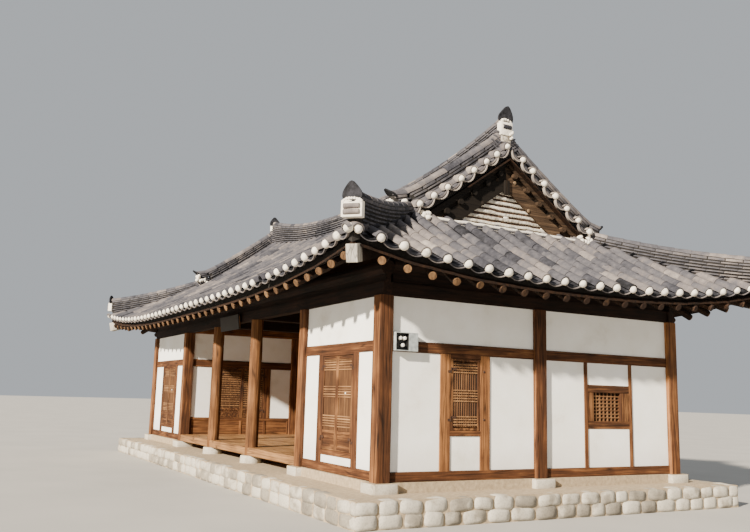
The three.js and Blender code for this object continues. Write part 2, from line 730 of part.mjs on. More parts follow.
const HALF_COLUMN = COLUMN_SIDE / 2;
const FROM_COLUMN = HALF_COLUMN + LINING_PAST_COLUMN + FLOOR_MARGIN;
const ROOM_X = {
  west: [COLUMN_X[0] + FROM_COLUMN, COLUMN_X[1] - FROM_COLUMN],
  east: [COLUMN_X[4] + FROM_COLUMN, COLUMN_X[5] - FROM_COLUMN],
};
const ROOM_Y = around(0, COLUMN_Y[2] - HALF_COLUMN - FLOOR_MARGIN);

function addPlatform() {
  const raised = [PLATFORM_TOP - BED_DEPTH, FOOTING_TOP];
  const skirt = SKIRT_WIDTH / 2;
  const solids = [box(around(0, PLATFORM_HALF[0]), around(0, PLATFORM_HALF[1]), [0, PLATFORM_TOP])];
  COLUMN_X.forEach((x, i) => {
    COLUMN_Y.forEach((y, j) => {
      const inHall = i === 2 || i === 3;
      if (j === 1 && inHall) return;
      solids.push(j === 0 && inHall
        ? upright(x, y, FOOTING_SIDE / 2, raised, 16)
        : box(around(x, FOOTING_SIDE / 2), around(y, FOOTING_SIDE / 2), raised));
    });
  });
  const long = [[COLUMN_X[0], COLUMN_X[1]], [COLUMN_X[4], COLUMN_X[5]]];
  long.forEach((span) => solids.push(box(span, around(COLUMN_Y[0], skirt), raised)));
  solids.push(box([COLUMN_X[0], COLUMN_X[5]], around(COLUMN_Y[2], skirt), raised));
  for (const x of [COLUMN_X[0], COLUMN_X[1], COLUMN_X[4], COLUMN_X[5]]) {
    solids.push(box(around(x, skirt), [COLUMN_Y[0], COLUMN_Y[2]], raised));
  }
  for (const room of [ROOM_X.west, ROOM_X.east]) {
    solids.push(box(room, ROOM_Y, [PLATFORM_TOP - BED_DEPTH, ROOM_FLOOR_TOP]));
  }
  add('stone_platform', join(solids), 'stone');
}

// Doors. A leaf is drawn with its hinged edge at x = 0, its face at y = 0, and swings to -y.

function knuckle(low, high, reach) {
  const strap = [-HINGE_OFFSET - HINGE_RADIUS, reach < 0 ? -2 : 2];
  const pin = upright(0, -HINGE_OFFSET, HINGE_RADIUS, [low, high], 6);
  return pin.add(box(reach < 0 ? [reach, 0] : [0, reach], strap, [low, high]));
}

function hingeHeights([low, high]) {
  return [low + HINGE_FROM_END, high - HINGE_FROM_END];
}

function leaf(width, [low, high], panelTop) {
  const pocketTop = high - LEAF_STILE;
  const inside = [LEAF_STILE, width - LEAF_STILE];
  const open = [-5, LEAF_THICKNESS - LEAF_BACK];
  let solid = box([0, width], [0, LEAF_THICKNESS], [low, high]);
  solid = solid.subtract(box(inside, open, [Math.max(panelTop, low + LEAF_STILE), pocketTop]));
  if (panelTop > low + 100) {
    solid = solid.subtract(box(inside, [-5, PANEL_SET_IN], [low + LEAF_STILE, panelTop - LEAF_STILE]));
  }
  return solid;
}

function leafWithHinges(width, heights, panelTop) {
  const knuckles = hingeHeights(heights).map((z) => knuckle(z + GAP / 2, z + HINGE_LENGTH, 40));
  return join([leaf(width, heights, panelTop), ...knuckles]);
}

function frameKnuckles(heights) {
  return join(hingeHeights(heights).map((z) => knuckle(z - HINGE_LENGTH, z - GAP / 2, -40)));
}

// hand 1 keeps the hinge on the left as seen from outside, -1 puts it on the right.
function placed(solid, hand, turn, [x, y]) {
  const handed = hand < 0 ? solid.mirror([1, 0, 0]) : solid;
  return handed.rotate([0, 0, turn]).translate([x, y, 0]);
}

const leafHeights = ([low, high]) => [low + LEAF_CLEARANCE, high - LEAF_CLEARANCE];
const pairWidth = ([low, high]) => (high - low - 3 * LEAF_CLEARANCE) / 2;
const FACE_BACK = 4;

// Walls: timbers in the face of a plaster wall

const RISER = [FOOTING_TOP + GAP, BEAM_UNDERSIDE - GAP];
const WALL_Z = [BOTTOM_RAIL_TOP + GAP, BEAM_UNDERSIDE - GAP];
const BOTTOM_RAIL = [FOOTING_TOP + GAP, BOTTOM_RAIL_TOP];
const FRONT_FACE = -PLASTER_Y - TIMBER_PROUD;
const FRONT_TIMBER = [FRONT_FACE, -PLASTER_Y + TIMBER_SET_IN];
const INNER_FACE_Y = COLUMN_Y[2] - HALF_COLUMN;
const squareColumn = (x, y, heights) => [around(x, HALF_COLUMN), around(y, HALF_COLUMN), heights];

function addFrontBay(name, [x0, x1], doorX) {
  const opening = around(doorX, DOOR_HALF_WIDTH);
  const doorZ = [SILL[1], DOOR_HEAD];
  const jamb = [BOTTOM_RAIL_TOP - 10, MID_RAIL[0] + 10];
  const rails = [
    [[x0, x1], FRONT_TIMBER, MID_RAIL],
    [[opening[0] - DOOR_FRAME, opening[0]], FRONT_TIMBER, jamb],
    [[opening[1], opening[1] + DOOR_FRAME], FRONT_TIMBER, jamb],
    [[opening[0] - 10, opening[1] + 10], FRONT_TIMBER, SILL],
    [[opening[0] - 10, opening[1] + 10], FRONT_TIMBER, [DOOR_HEAD, MID_RAIL[0] + 10]],
  ];
  const posts = [x0, x1].map((x) => squareColumn(x, COLUMN_Y[0], RISER));
  const foot = [[x0, x1], [FRONT_FACE, -INNER_FACE_Y], BOTTOM_RAIL];
  const leafZ = leafHeights(doorZ);
  const faceY = FRONT_FACE + FACE_BACK;
  const width = pairWidth(opening);
  const edges = [[1, opening[0] + LEAF_CLEARANCE, 'left'], [-1, opening[1] - LEAF_CLEARANCE, 'right']];
  const knuckles = edges.map(([hand, x]) => placed(frameKnuckles(leafZ), hand, 0, [x, faceY]));
  add(`${name}_frame`, join([timbers([...posts, ...rails, foot]), ...knuckles]), 'wood');
  const wall = box(
    [x0 + HALF_COLUMN + GAP, x1 - HALF_COLUMN - GAP], [-PLASTER_Y, -INNER_FACE_Y - GAP], WALL_Z,
  ).subtract(box(opening, around(COLUMN_Y[0], 300), doorZ));
  add(`${name}_wall`, cutFor(wall, rails), 'plaster');
  edges.forEach(([hand, x, side]) => {
    const solid = leafWithHinges(width, leafZ, LEAF_PANEL_TOP);
    add(`${name}_door_${side}`, placed(solid, hand, 0, [x, faceY]), 'lattice');
  });
}

// An end wall of two bays: a small door in one, a window in the other. Drawn for +X.
const END_FACE = PLASTER_X + TIMBER_PROUD;
const END_TIMBER = [PLASTER_X - TIMBER_SET_IN, END_FACE];
const END_INNER = COLUMN_X[5] - HALF_COLUMN - LINING_PAST_COLUMN;
const BETWEEN_ENDS = around(0, INNER_FACE_Y - GAP);

function endWall() {
  const jamb = [BOTTOM_RAIL_TOP - 10, MID_RAIL[0] + 10];
  const { side: beside, sill } = END_DOOR_FRAME;
  const rail = (span, heights) => [END_TIMBER, span, heights];
  const [low, high] = END_DOOR_Y;
  const members = [
    rail(BETWEEN_ENDS, MID_RAIL),
    rail([low - beside, low], jamb), rail([high, high + beside], jamb),
    rail([low - 10, high + 10], [END_DOOR_Z[0] - sill, END_DOOR_Z[0]]),
    rail([low - 10, high + 10], [END_DOOR_Z[1], MID_RAIL[0] + 10]),
    rail([WINDOW_Y[0] - WINDOW_STUD, WINDOW_Y[0]], jamb),
    rail([WINDOW_Y[1], WINDOW_Y[1] + WINDOW_STUD], jamb),
    squareColumn(COLUMN_X[5], COLUMN_Y[1], RISER),
  ];
  const foot = [[END_INNER + 5, END_FACE], BETWEEN_ENDS, BOTTOM_RAIL];
  const through = [END_INNER - 50, END_FACE + 50];
  const wall = box([END_INNER, PLASTER_X], BETWEEN_ENDS, WALL_Z)
    .subtract(box(through, END_DOOR_Y, END_DOOR_Z))
    .subtract(box(through, ...grown([WINDOW_Y, WINDOW_Z])));
  return { frame: timbers([...members, foot]), wall: cutFor(wall, members) };
}

function windowFrame(gap) {
  const spans = [WINDOW_Y, WINDOW_Z].map((span) => [span[0] + gap, span[1] - gap]);
  const front = PLASTER_X + 14;
  const frame = box([front - WINDOW_DEPTH, front], ...spans);
  const pocket = box([front - 70, front + 10], WINDOW_OPENING.y, WINDOW_OPENING.z);
  return frame.subtract(pocket);
}

function addEnds() {
  const { frame, wall } = endWall();
  const leafZ = leafHeights(END_DOOR_Z);
  const hinge = [END_FACE - FACE_BACK, END_DOOR_Y[0] + LEAF_CLEARANCE];
  const width = END_DOOR_Y[1] - END_DOOR_Y[0] - 2 * LEAF_CLEARANCE;
  add('east_frame', frame.add(placed(frameKnuckles(leafZ), 1, 90, hinge)), 'wood');
  add('east_wall', wall, 'plaster');
  add('east_door', placed(leafWithHinges(width, leafZ, 0), 1, 90, hinge), 'lattice');
  add('east_window', windowFrame(GAP), 'lattice');
  const shut = leaf(width + 2 * LEAF_CLEARANCE + 4, [END_DOOR_Z[0] - 2, END_DOOR_Z[1] + 2], 0);
  const fixedDoor = placed(shut, 1, 90, [hinge[0], END_DOOR_Y[0] - 2]);
  const westFrame = join([frame, fixedDoor, windowFrame(-3)]).mirror([1, 0, 0]);
  add('west_frame', westFrame, 'wood');
  add('west_wall', wall.mirror([1, 0, 0]).subtract(box(
    [-PLASTER_X - 20, -PLASTER_X + WINDOW_DEPTH], ...grown([WINDOW_Y, WINDOW_Z], 4),
  )), 'plaster');
}

// A wall between the hall and a room, drawn for the west one, whose timbers face +X.
function partition(columnX) {
  const face = columnX + PARTITION_FACE;
  const roomFace = columnX - HALF_COLUMN - LINING_PAST_COLUMN;
  const depth = [face - TIMBER_SET_IN, face + TIMBER_PROUD];
  const rail = (span, heights) => [depth, span, heights];
  const [low, high] = HALL_DOOR_Y;
  const jamb = [HALL_DOOR_Z[0] - 10, HALL_DOOR_Z[1] + 10];
  const members = [
    rail(BETWEEN_ENDS, [HALL_DOOR_Z[1], MID_RAIL[1]]),
    rail(BETWEEN_ENDS, WAIST_RAIL),
    [[depth[0], depth[1] - PANEL_SET_IN], BETWEEN_ENDS, [BOTTOM_RAIL_TOP - 10, WAIST_RAIL[0] + 10]],
    rail([low - DOOR_FRAME, low], jamb), rail([high, high + DOOR_FRAME], jamb),
    squareColumn(columnX, COLUMN_Y[1], RISER),
  ];
  const foot = [[roomFace + 5, depth[1]], BETWEEN_ENDS, BOTTOM_RAIL];
  const cap = squareColumn(columnX, COLUMN_Y[1], [BEAM_UNDERSIDE - 50, BEAM_UNDERSIDE + 50]);
  const doorway = box([roomFace - 50, depth[1] + 50], HALL_DOOR_Y, HALL_DOOR_Z);
  const wall = box([roomFace, face], BETWEEN_ENDS, WALL_Z).subtract(doorway);
  return {
    frame: timbers([...members, foot, cap]).add(crossbeam(columnX)),
    wall: cutFor(wall, members),
    face: depth[1],
  };
}

function addPartitions() {
  const west = partition(COLUMN_X[1]);
  const leafZ = leafHeights(HALL_DOOR_Z);
  const width = pairWidth(HALL_DOOR_Y);
  const faceX = west.face - FACE_BACK;
  const edges = [
    [1, HALL_DOOR_Y[0] + LEAF_CLEARANCE, 'left'], [-1, HALL_DOOR_Y[1] - LEAF_CLEARANCE, 'right'],
  ];
  const knuckles = edges.map(([hand, y]) => placed(frameKnuckles(leafZ), hand, 90, [faceX, y]));
  add('partition_west_frame', join([west.frame, ...knuckles]), 'wood');
  add('partition_west_wall', west.wall, 'plaster');
  edges.forEach(([hand, y, side]) => {
    const solid = leafWithHinges(width, leafZ, 0);
    add(`partition_west_door_${side}`, placed(solid, hand, 90, [faceX, y]), 'lattice');
  });
  const east = partition(-COLUMN_X[4]);
  const half = (HALL_DOOR_Y[1] - HALL_DOOR_Y[0]) / 2 + 3;
  const shut = leaf(half, [HALL_DOOR_Z[0] - 2, HALL_DOOR_Z[1] + 2], 0);
  const fixed = [[1, HALL_DOOR_Y[0] - 2], [-1, HALL_DOOR_Y[1] + 2]].map(
    ([hand, y]) => placed(shut, hand, 90, [east.face - FACE_BACK, y]),
  );
  add('partition_east_frame', join([east.frame, ...fixed]).mirror([1, 0, 0]), 'wood');
  add('partition_east_wall', east.wall.mirror([1, 0, 0]), 'plaster');
}

// Rear: six columns with rails, boards behind the hall, plaster behind the rooms
function addRear() {
  const timber = [PLASTER_Y - TIMBER_SET_IN, PLASTER_Y + TIMBER_PROUD];
  const whole = [COLUMN_X[0], COLUMN_X[5]];
  const rail = [whole, timber, MID_RAIL];
  const foot = [whole, [INNER_FACE_Y, PLASTER_Y + TIMBER_PROUD], BOTTOM_RAIL];
  const { back, thickness } = REAR_BOARDS;
  const boards = [
    [COLUMN_X[1], COLUMN_X[4]], [PLASTER_Y - back - thickness, PLASTER_Y - back],
    [BOTTOM_RAIL_TOP - 10, RISER[1]],
  ];
  const posts = COLUMN_X.map((x) => squareColumn(x, COLUMN_Y[2], RISER));
  add('rear_frame', timbers([...posts, rail, foot, boards]), 'wood');
  const rooms = { west: [COLUMN_X[0], COLUMN_X[1]], east: [COLUMN_X[4], COLUMN_X[5]] };
  for (const [side, [x0, x1]] of Object.entries(rooms)) {
    const wall = box(
      [x0 + HALF_COLUMN + GAP, x1 - HALF_COLUMN - GAP], [INNER_FACE_Y + GAP, PLASTER_Y], WALL_Z,
    );
    add(`rear_wall_${side}`, cutFor(wall, [rail]), 'plaster');
  }
}

// Hall: round columns and a floor of boards on beams that rest on the footings
function addHall() {
  const names = { [COLUMN_X[2]]: 'hall_column_west', [COLUMN_X[3]]: 'hall_column_east' };
  const front = [COLUMN_Y[0] - 100, COLUMN_Y[0] + 20];
  const besidePartition = PARTITION_FACE + TIMBER_PROUD + 2;
  const span = [COLUMN_X[1] + besidePartition, COLUMN_X[4] - besidePartition];
  const rear = INNER_FACE_Y - FLOOR_MARGIN;
  const beam = [FOOTING_TOP + GAP, HALL_FLOOR_TOP - FLOOR_BOARD + 10];
  let floor = timbers([
    [span, [front[0], rear], [HALL_FLOOR_TOP - FLOOR_BOARD, HALL_FLOOR_TOP]],
    [span, front, beam],
    [span, [rear - FLOOR_BEAM_WIDTH, rear], beam],
    ...[COLUMN_X[2], COLUMN_X[3]].map((x) => [around(x, FLOOR_BEAM_WIDTH / 2), [front[0], rear], beam]),
  ]);
  for (const x of [COLUMN_X[2], COLUMN_X[3]]) {
    add(names[x], upright(x, COLUMN_Y[0], HALL_COLUMN_RADIUS, RISER, 20), 'wood');
    floor = floor.subtract(upright(x, COLUMN_Y[0], HALL_COLUMN_RADIUS + 2, RISER, 20));
  }
  const square = [COLUMN_X[1], COLUMN_X[4]].flatMap(
    (x) => [COLUMN_Y[0], COLUMN_Y[1]].map((y) => squareColumn(x, y, RISER)),
  );
  add('hall_floor', cutFor(floor, square, 2), 'floor');
}

// Fittings: a bare board over the hall, and an open-fronted box by the near corner
function addFittings() {
  const beamFace = COLUMN_Y[0] - BEAM.half;
  const { width, height, thickness, low, off, tilt, hookX } = PLAQUE;
  const board = box(around(0, width / 2), [-thickness, 0], [0, height])
    .rotate([tilt * 180 / Math.PI, 0, 0]).translate([0, beamFace - off, low]);
  const hooks = [-hookX, hookX].map((x) => box(
    around(x, 15), [beamFace - off - 35, beamFace - GAP], [BEAM_UNDERSIDE + 30, BEAM_UNDERSIDE + 60],
  ));
  add('plaque', join([board, ...hooks]), 'wood');
  const { y, z, depth, wall, open } = METER_BOX;
  const back = END_FACE + GAP;
  const pocket = box(
    [back + wall, back + depth + 10], [y[0] + wall, y[0] + open], [z[0] + wall, z[1] - wall],
  );
  add('meter_box', box([back, back + depth], y, z).subtract(pocket), 'metal');
}

addPlatform();
addFrontBay('front_west', [COLUMN_X[0], COLUMN_X[1]], FRONT_DOOR_X.west);
addFrontBay('front_east', [COLUMN_X[4], COLUMN_X[5]], FRONT_DOOR_X.east);
addEnds();
addPartitions();
addRear();
addHall();
addBeams();
addRafters();
addTiles();
addRidges();
addGables();
addFittings();

export default house;
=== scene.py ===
import math
import random

import bmesh
import bpy
from mathutils import Matrix, Vector, noise


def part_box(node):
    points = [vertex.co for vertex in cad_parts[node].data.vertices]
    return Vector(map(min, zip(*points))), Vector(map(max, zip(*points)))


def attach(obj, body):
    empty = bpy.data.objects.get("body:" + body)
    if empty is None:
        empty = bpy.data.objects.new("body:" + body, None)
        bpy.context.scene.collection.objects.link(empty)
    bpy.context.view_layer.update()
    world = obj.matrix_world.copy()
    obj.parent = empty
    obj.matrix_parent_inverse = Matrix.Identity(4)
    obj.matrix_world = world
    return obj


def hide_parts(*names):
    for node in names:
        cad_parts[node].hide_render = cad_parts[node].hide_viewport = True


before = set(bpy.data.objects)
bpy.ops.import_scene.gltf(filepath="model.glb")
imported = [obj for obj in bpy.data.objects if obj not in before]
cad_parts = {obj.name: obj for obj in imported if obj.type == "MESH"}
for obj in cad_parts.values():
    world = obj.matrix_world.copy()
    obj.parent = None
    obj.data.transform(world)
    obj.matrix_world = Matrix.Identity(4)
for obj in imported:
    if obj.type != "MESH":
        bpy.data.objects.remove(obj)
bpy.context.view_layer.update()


# ---------------------------------------------------------------------------
# Camera: stands off the south-east corner at eye height, looking up at the
# eaves, with the slight roll of a hand-held shot.
def framed(across, up, out, at):
    """A place whose three axes and origin are given."""
    place = Matrix((across, up, out)).transposed().to_4x4()
    place.translation = at
    return place


turn, lift, roll = math.radians(61.01), math.radians(9.36), math.radians(1.57)
ahead = Vector((-math.sin(turn) * math.cos(lift), math.cos(turn) * math.cos(lift), math.sin(lift)))
right = Vector((math.cos(turn), math.sin(turn), 0))
upward = right.cross(ahead)
tilted_right = math.cos(roll) * right + math.sin(roll) * upward
tilted_up = math.cos(roll) * upward - math.sin(roll) * right
camera = bpy.data.objects.new("camera", bpy.data.cameras.new("camera"))
camera.data.sensor_width = 36
camera.data.lens = 38.17
camera.data.clip_end = 400
camera.matrix_world = framed(tilted_right, tilted_up, -ahead, (16.081, -8.494, 1.662))
bpy.context.collection.objects.link(camera)
bpy.context.scene.camera = camera


# ---------------------------------------------------------------------------
# Floor and light: a plain pale studio floor, one wide soft lamp high on the
# front, and an even pale surround that fills the shade below the eaves.
def linear(colour):
    """An sRGB hex colour as the linear values that Blender works in."""
    parts = [int(colour[place:place + 2], 16) / 255 for place in (0, 2, 4)]
    return tuple(part / 12.92 if part <= 0.04045 else ((part + 0.055) / 1.055) ** 2.4 for part in parts) + (1.0,)


def add_node(tree, kind, feeds=None, stops=None, **settings):
    """One shader node with its settings, its fed or fixed inputs, and a ramp's colour stops."""
    node = tree.nodes.new(kind)
    for setting, value in settings.items():
        setattr(node, setting, value)
    for socket, value in (feeds or {}).items():
        if isinstance(value, bpy.types.NodeSocket):
            tree.links.new(value, node.inputs[socket])
        else:
            node.inputs[socket].default_value = value
    if stops:
        elements = node.color_ramp.elements
        while len(elements) < len(stops):
            elements.new(0.5)
        for element, (place, colour) in zip(elements, stops):
            element.position = place
            element.color = linear(colour)
    return node


def start_material(title, roughness, metallic=0.0, sheen=0.5):
    """A new material, its node tree and its main shader."""
    material = bpy.data.materials.new(title)
    material.use_nodes = True
    tree = material.node_tree
    shader = tree.nodes["Principled BSDF"]
    shader.inputs["Roughness"].default_value = roughness
    shader.inputs["Metallic"].default_value = metallic
    shader.inputs["Specular IOR Level"].default_value = sheen
    return material, tree, shader


def object_place(tree):
    return add_node(tree, "ShaderNodeTexCoord").outputs["Object"]


def object_noise(tree, scale, detail=2.0, grit=0.5):
    """The grey of a noise fixed to the object, in clouds 1 / scale metres wide."""
    feeds = {"Vector": object_place(tree), "Scale": scale, "Detail": detail, "Roughness": grit}
    return add_node(tree, "ShaderNodeTexNoise", feeds).outputs["Fac"]


def face_tone(tree):
    """The tone that was given to each face as its shape was laid."""
    return add_node(tree, "ShaderNodeAttribute", attribute_name="tone").outputs["Fac"]


def weigh(tree, value, weight, rest):
    """value * weight + rest."""
    return add_node(tree, "ShaderNodeMath", {0: value, 1: weight, 2: rest}, operation="MULTIPLY_ADD").outputs["Value"]


def ranged(tree, value, from_min, from_max, to_min=0.0, to_max=1.0):
    feeds = {"Value": value, "From Min": from_min, "From Max": from_max, "To Min": to_min, "To Max": to_max}
    return add_node(tree, "ShaderNodeMapRange", feeds).outputs["Result"]


def paint(tree, shader, level, stops, shade=None):
    """Colours the shader by a ramp over a level, times a shade."""
    colour = add_node(tree, "ShaderNodeValToRGB", {"Fac": level}, stops).outputs["Color"]
    if shade is not None:
        colour = add_node(tree, "ShaderNodeVectorMath", {0: colour, 1: shade}, operation="MULTIPLY").outputs["Vector"]
    tree.links.new(colour, shader.inputs["Base Color"])


def emboss(tree, shader, height, strength, depth):
    relief = add_node(tree, "ShaderNodeBump", {"Height": height, "Strength": strength, "Distance": depth})
    tree.links.new(relief.outputs["Normal"], shader.inputs["Normal"])


def clouded(title, roughness, scale, detail, stops, relief=None, grit=0.5, toned=0.0, metallic=0.0):
    """A material coloured by one noise; relief is the strength and depth of its bumps."""
    material, tree, shader = start_material(title, roughness, metallic)
    cloud = object_noise(tree, scale, detail, grit)
    paint(tree, shader, weigh(tree, face_tone(tree), toned, cloud) if toned else cloud, stops)
    if relief:
        emboss(tree, shader, cloud, *relief)
    return material


floor_size = 160
sheet = bmesh.new()
bmesh.ops.create_grid(sheet, x_segments=2, y_segments=2, size=floor_size)
floor = bpy.data.objects.new("studio_floor", bpy.data.meshes.new("studio_floor"))
sheet.to_mesh(floor.data)
sheet.free()
# Studio paper: matt and seamless, in clouds 1.7 m wide.
floor.data.materials.append(clouded("studio_paper_matt", 0.9, 0.6, 2.0, [(0.3, "AAA7A1"), (0.7, "B1AEA8")]))
bpy.context.collection.objects.link(floor)

lamp = bpy.data.objects.new("wide_lamp", bpy.data.lights.new("wide_lamp", "SUN"))
lamp.data.energy = 14.0
lamp.data.angle = math.radians(2.2)
lamp.data.color = linear("FFF3E0")[:3]
lamp.rotation_mode = "QUATERNION"
lamp.rotation_quaternion = Vector((0.366, -0.834, 0.414)).to_track_quat("Z", "Y")
bpy.context.collection.objects.link(lamp)

surround = bpy.data.worlds.new("pale_surround")
surround.use_nodes = True
surround.node_tree.nodes["Background"].inputs["Color"].default_value = linear("E3E8ED")
surround.node_tree.nodes["Background"].inputs["Strength"].default_value = 0.62
bpy.context.scene.world = surround


# ---------------------------------------------------------------------------
# Stone platform: rammed earth and lime inside a dry kerb of rounded field
# stones, with a dressed granite footing under every column. The solid of the
# CAD stays as the earth; the stones are set into its rim.
def move(x, y, z):
    return Matrix.Translation((x, y, z))


def rotated(angle, axis):
    return Matrix.Rotation(angle, 4, axis)


def sized(x, y, z):
    return Matrix.Diagonal((x, y, z, 1))


def template(shape, title):
    """A small shape kept as a mesh, to be laid many times, with a tone for each face."""
    shape.faces.layers.float.new("tone")
    mesh = bpy.data.meshes.new(title)
    shape.to_mesh(mesh)
    shape.free()
    return mesh


def lay(work, shape, place, tone=0.5, finish=0):
    """Lays a shape at its place in a piece, with its own tone and finish."""
    old_verts, old_faces = len(work.verts), len(work.faces)
    work.from_mesh(shape)
    work.verts.ensure_lookup_table()
    bmesh.ops.transform(work, matrix=place, verts=work.verts[old_verts:])
    tones = work.faces.layers.float["tone"]
    work.faces.ensure_lookup_table()
    for face in work.faces[old_faces:]:
        face[tones] = tone
        face.material_index = finish


def lay_once(work, shape, tone=0.5, finish=0):
    """Lays a shape that was made in its place and is not used again."""
    mesh = template(shape, "once")
    lay(work, mesh, Matrix(), tone, finish)
    bpy.data.meshes.remove(mesh)


def finish_piece(title, work, finishes, body="house", nodes=(), crease=38):
    """Turns the work into a piece that rides on its body and stands for its nodes."""
    mesh = bpy.data.meshes.new(title)
    work.to_mesh(mesh)
    work.free()
    for finish in finishes:
        mesh.materials.append(finish)
    mesh.shade_smooth()
    mesh.set_sharp_from_angle(angle=math.radians(crease))
    piece = bpy.data.objects.new(title, mesh)
    bpy.context.collection.objects.link(piece)
    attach(piece, body)
    if nodes:
        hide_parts(*nodes)


def dress(material, *nodes):
    """Gives a CAD solid that stays its finish."""
    for node in nodes:
        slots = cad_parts[node].data.materials
        slots.clear()
        slots.append(material)


def ease_edges(shape, edges, offset, segments=1):
    bmesh.ops.bevel(shape, geom=edges, affect="EDGES", offset=offset, segments=segments, profile=0.5, material=-1)


def eased_cube(offset, segments=1):
    """A cube 1 m wide with its edges eased, to be stretched as it is laid."""
    cube = bmesh.new()
    bmesh.ops.create_cube(cube, size=1)
    ease_edges(cube, cube.edges[:], offset, segments)
    return cube


# Field stone: granite cobbles weathered by the river, matt, with grains of
# 8 mm that are drawn 30 mm wide so that they show.
field_stone, tree, shader = start_material("field_stone_weathered", 0.88)
cloud = object_noise(tree, 5.0, 5.0)
grain = add_node(tree, "ShaderNodeTexVoronoi", {"Vector": object_place(tree), "Scale": 33.0})
paint(tree, shader, weigh(tree, face_tone(tree), 1.0, cloud),
      [(0.45, "6E675C"), (0.8, "8F8779"), (1.2 / 1.4, "A79F90"), (1.0, "B9B2A4")],
      ranged(tree, grain.outputs["Distance"], 0.0, 0.6, 0.8, 1.06))
emboss(tree, shader, cloud, 0.6, 0.02)

# Rammed earth with lime: swept flat and dry, straw-coloured lumps of 60 mm.
dress(clouded("earth_and_lime_rammed", 0.95, 16.0, 6.0, [(0.3, "8C7B63"), (0.55, "A8967B"), (0.75, "BBAA8E")],
              relief=(0.4, 0.01), grit=0.65), "stone_platform")

# Kerb: two courses of cobbles, each stone of its own width, down to the ground.
cobble = eased_cube(0.27, 2)
bmesh.ops.smooth_vert(cobble, verts=cobble.verts, factor=0.5, use_axis_x=True, use_axis_y=True, use_axis_z=True)
cobble = template(cobble, "cobble")
dice = random.Random(11)
kerb = bmesh.new()
platform_half_long, platform_half_deep, kerb_lap = 7.0, 3.65, 0.02
for quarter in range(4):
    half_length, face_at = platform_half_long, platform_half_deep
    if quarter % 2:
        half_length, face_at = face_at, half_length
    for height, course_tall in ((0.095, 0.20), (0.265, 0.19)):
        reach = -half_length - kerb_lap
        while reach < half_length - 0.12:
            width = min(dice.uniform(0.26, 0.46), half_length + kerb_lap - reach)
            tall = course_tall + dice.uniform(-0.02, 0.012)
            place = (rotated(math.radians(90 * quarter), "Z")
                     @ move(reach + width / 2, -face_at + 0.07 + dice.uniform(-0.008, 0.012), height)
                     @ rotated(dice.uniform(-0.09, 0.09), "Y") @ sized(width * 1.06, 0.22, tall * 1.1))
            lay(kerb, cobble, place, dice.uniform(0.1, 0.75))
            reach += width
ground_clearance = 0.002
for vert in kerb.verts:
    vert.co.z = max(vert.co.z, ground_clearance)
finish_piece("kerb_stones", kerb, [field_stone], crease=180)

# Footing stones: blocks of granite with worn arrises, square under the square
# columns and round under the two hall columns, standing proud of the earth.
block = template(eased_cube(0.07, 2), "footing_block")
drum = bmesh.new()
bmesh.ops.create_cone(drum, cap_ends=True, segments=20, radius1=0.5, radius2=0.47, depth=1)
ease_edges(drum, [edge for edge in drum.edges if edge.verts[0].co.z * edge.verts[1].co.z > 0], 0.06, 2)
drum = template(drum, "footing_drum")
column_lines = [-6.275, -3.375, -1.075, 1.275, 3.675, 6.275]
front_line, mid_line, rear_line, hall_middle = -2.9, -0.08, 2.9, 0.1
stone_middle, stone_tall = 0.4105, 0.178
footings = bmesh.new()
for x in column_lines:
    beside_hall = abs(x - hall_middle) < 1.5
    for y in (front_line, mid_line, rear_line):
        if y == mid_line and beside_hall:
            continue
        rounded = y == front_line and beside_hall
        wide = 0.42 if rounded else 0.395
        place = move(x, y, stone_middle) @ rotated(dice.uniform(-0.03, 0.03), "Z") @ sized(wide, wide, stone_tall)
        lay(footings, drum if rounded else block, place, dice.uniform(0.4, 0.8))
finish_piece("footing_stones", footings, [field_stone], crease=50)


# ---------------------------------------------------------------------------
# Columns and wall frames: red pine, squared with the adze, pegged and never
# painted, gone brown in the weather with dark soft grain and fine shakes.
def aged_pine(title, along, dark, mid, light, roughness=0.82, shaken=0.35):
    """Old unpainted pine with its grain along one axis: streaks 40 mm apart, shakes 60 mm apart."""
    material, tree, shader = start_material(title, roughness, sheen=0.2)

    def drawn_out(wide, long):
        scale = [wide, wide, wide]
        scale[along] = long
        return add_node(tree, "ShaderNodeMapping", {"Vector": object_place(tree), "Scale": scale}).outputs["Vector"]

    grain = add_node(tree, "ShaderNodeTexNoise", {"Vector": drawn_out(26.0, 1.3), "Scale": 1.0, "Detail": 5.0,
                                                  "Roughness": 0.62, "Distortion": 0.3}).outputs["Fac"]
    weight = weigh(tree, object_noise(tree, 2.2, 4.0), 0.45, grain)
    spread = ranged(tree, weigh(tree, face_tone(tree), 0.36, weight), 0.55, 1.3)
    shakes = add_node(tree, "ShaderNodeTexVoronoi", {"Vector": drawn_out(17.0, 0.55), "Scale": 1.0, "Randomness": 1.0},
                      feature="DISTANCE_TO_EDGE")
    crack = ranged(tree, shakes.outputs["Distance"], 0.0, 0.05, shaken)
    paint(tree, shader, spread, [(0.0, dark), (0.45, mid), (0.95, light)], crack)
    emboss(tree, shader, weigh(tree, crack, 1.0, grain), 0.5, 0.006)
    return material


def pine_set(title, *look):
    """The same pine with its grain along x, y and z, for timbers that run along each."""
    return [aged_pine(f"{title}_{way}", along, *look) for along, way in enumerate(("across", "deep", "upright"))]


frame_pine = pine_set("frame_pine_adzed", "1A0F08", "573620", "9C6B40")


# The waver is seeded here, or else the clock would choose it at every run.
noise.seed_set(11)


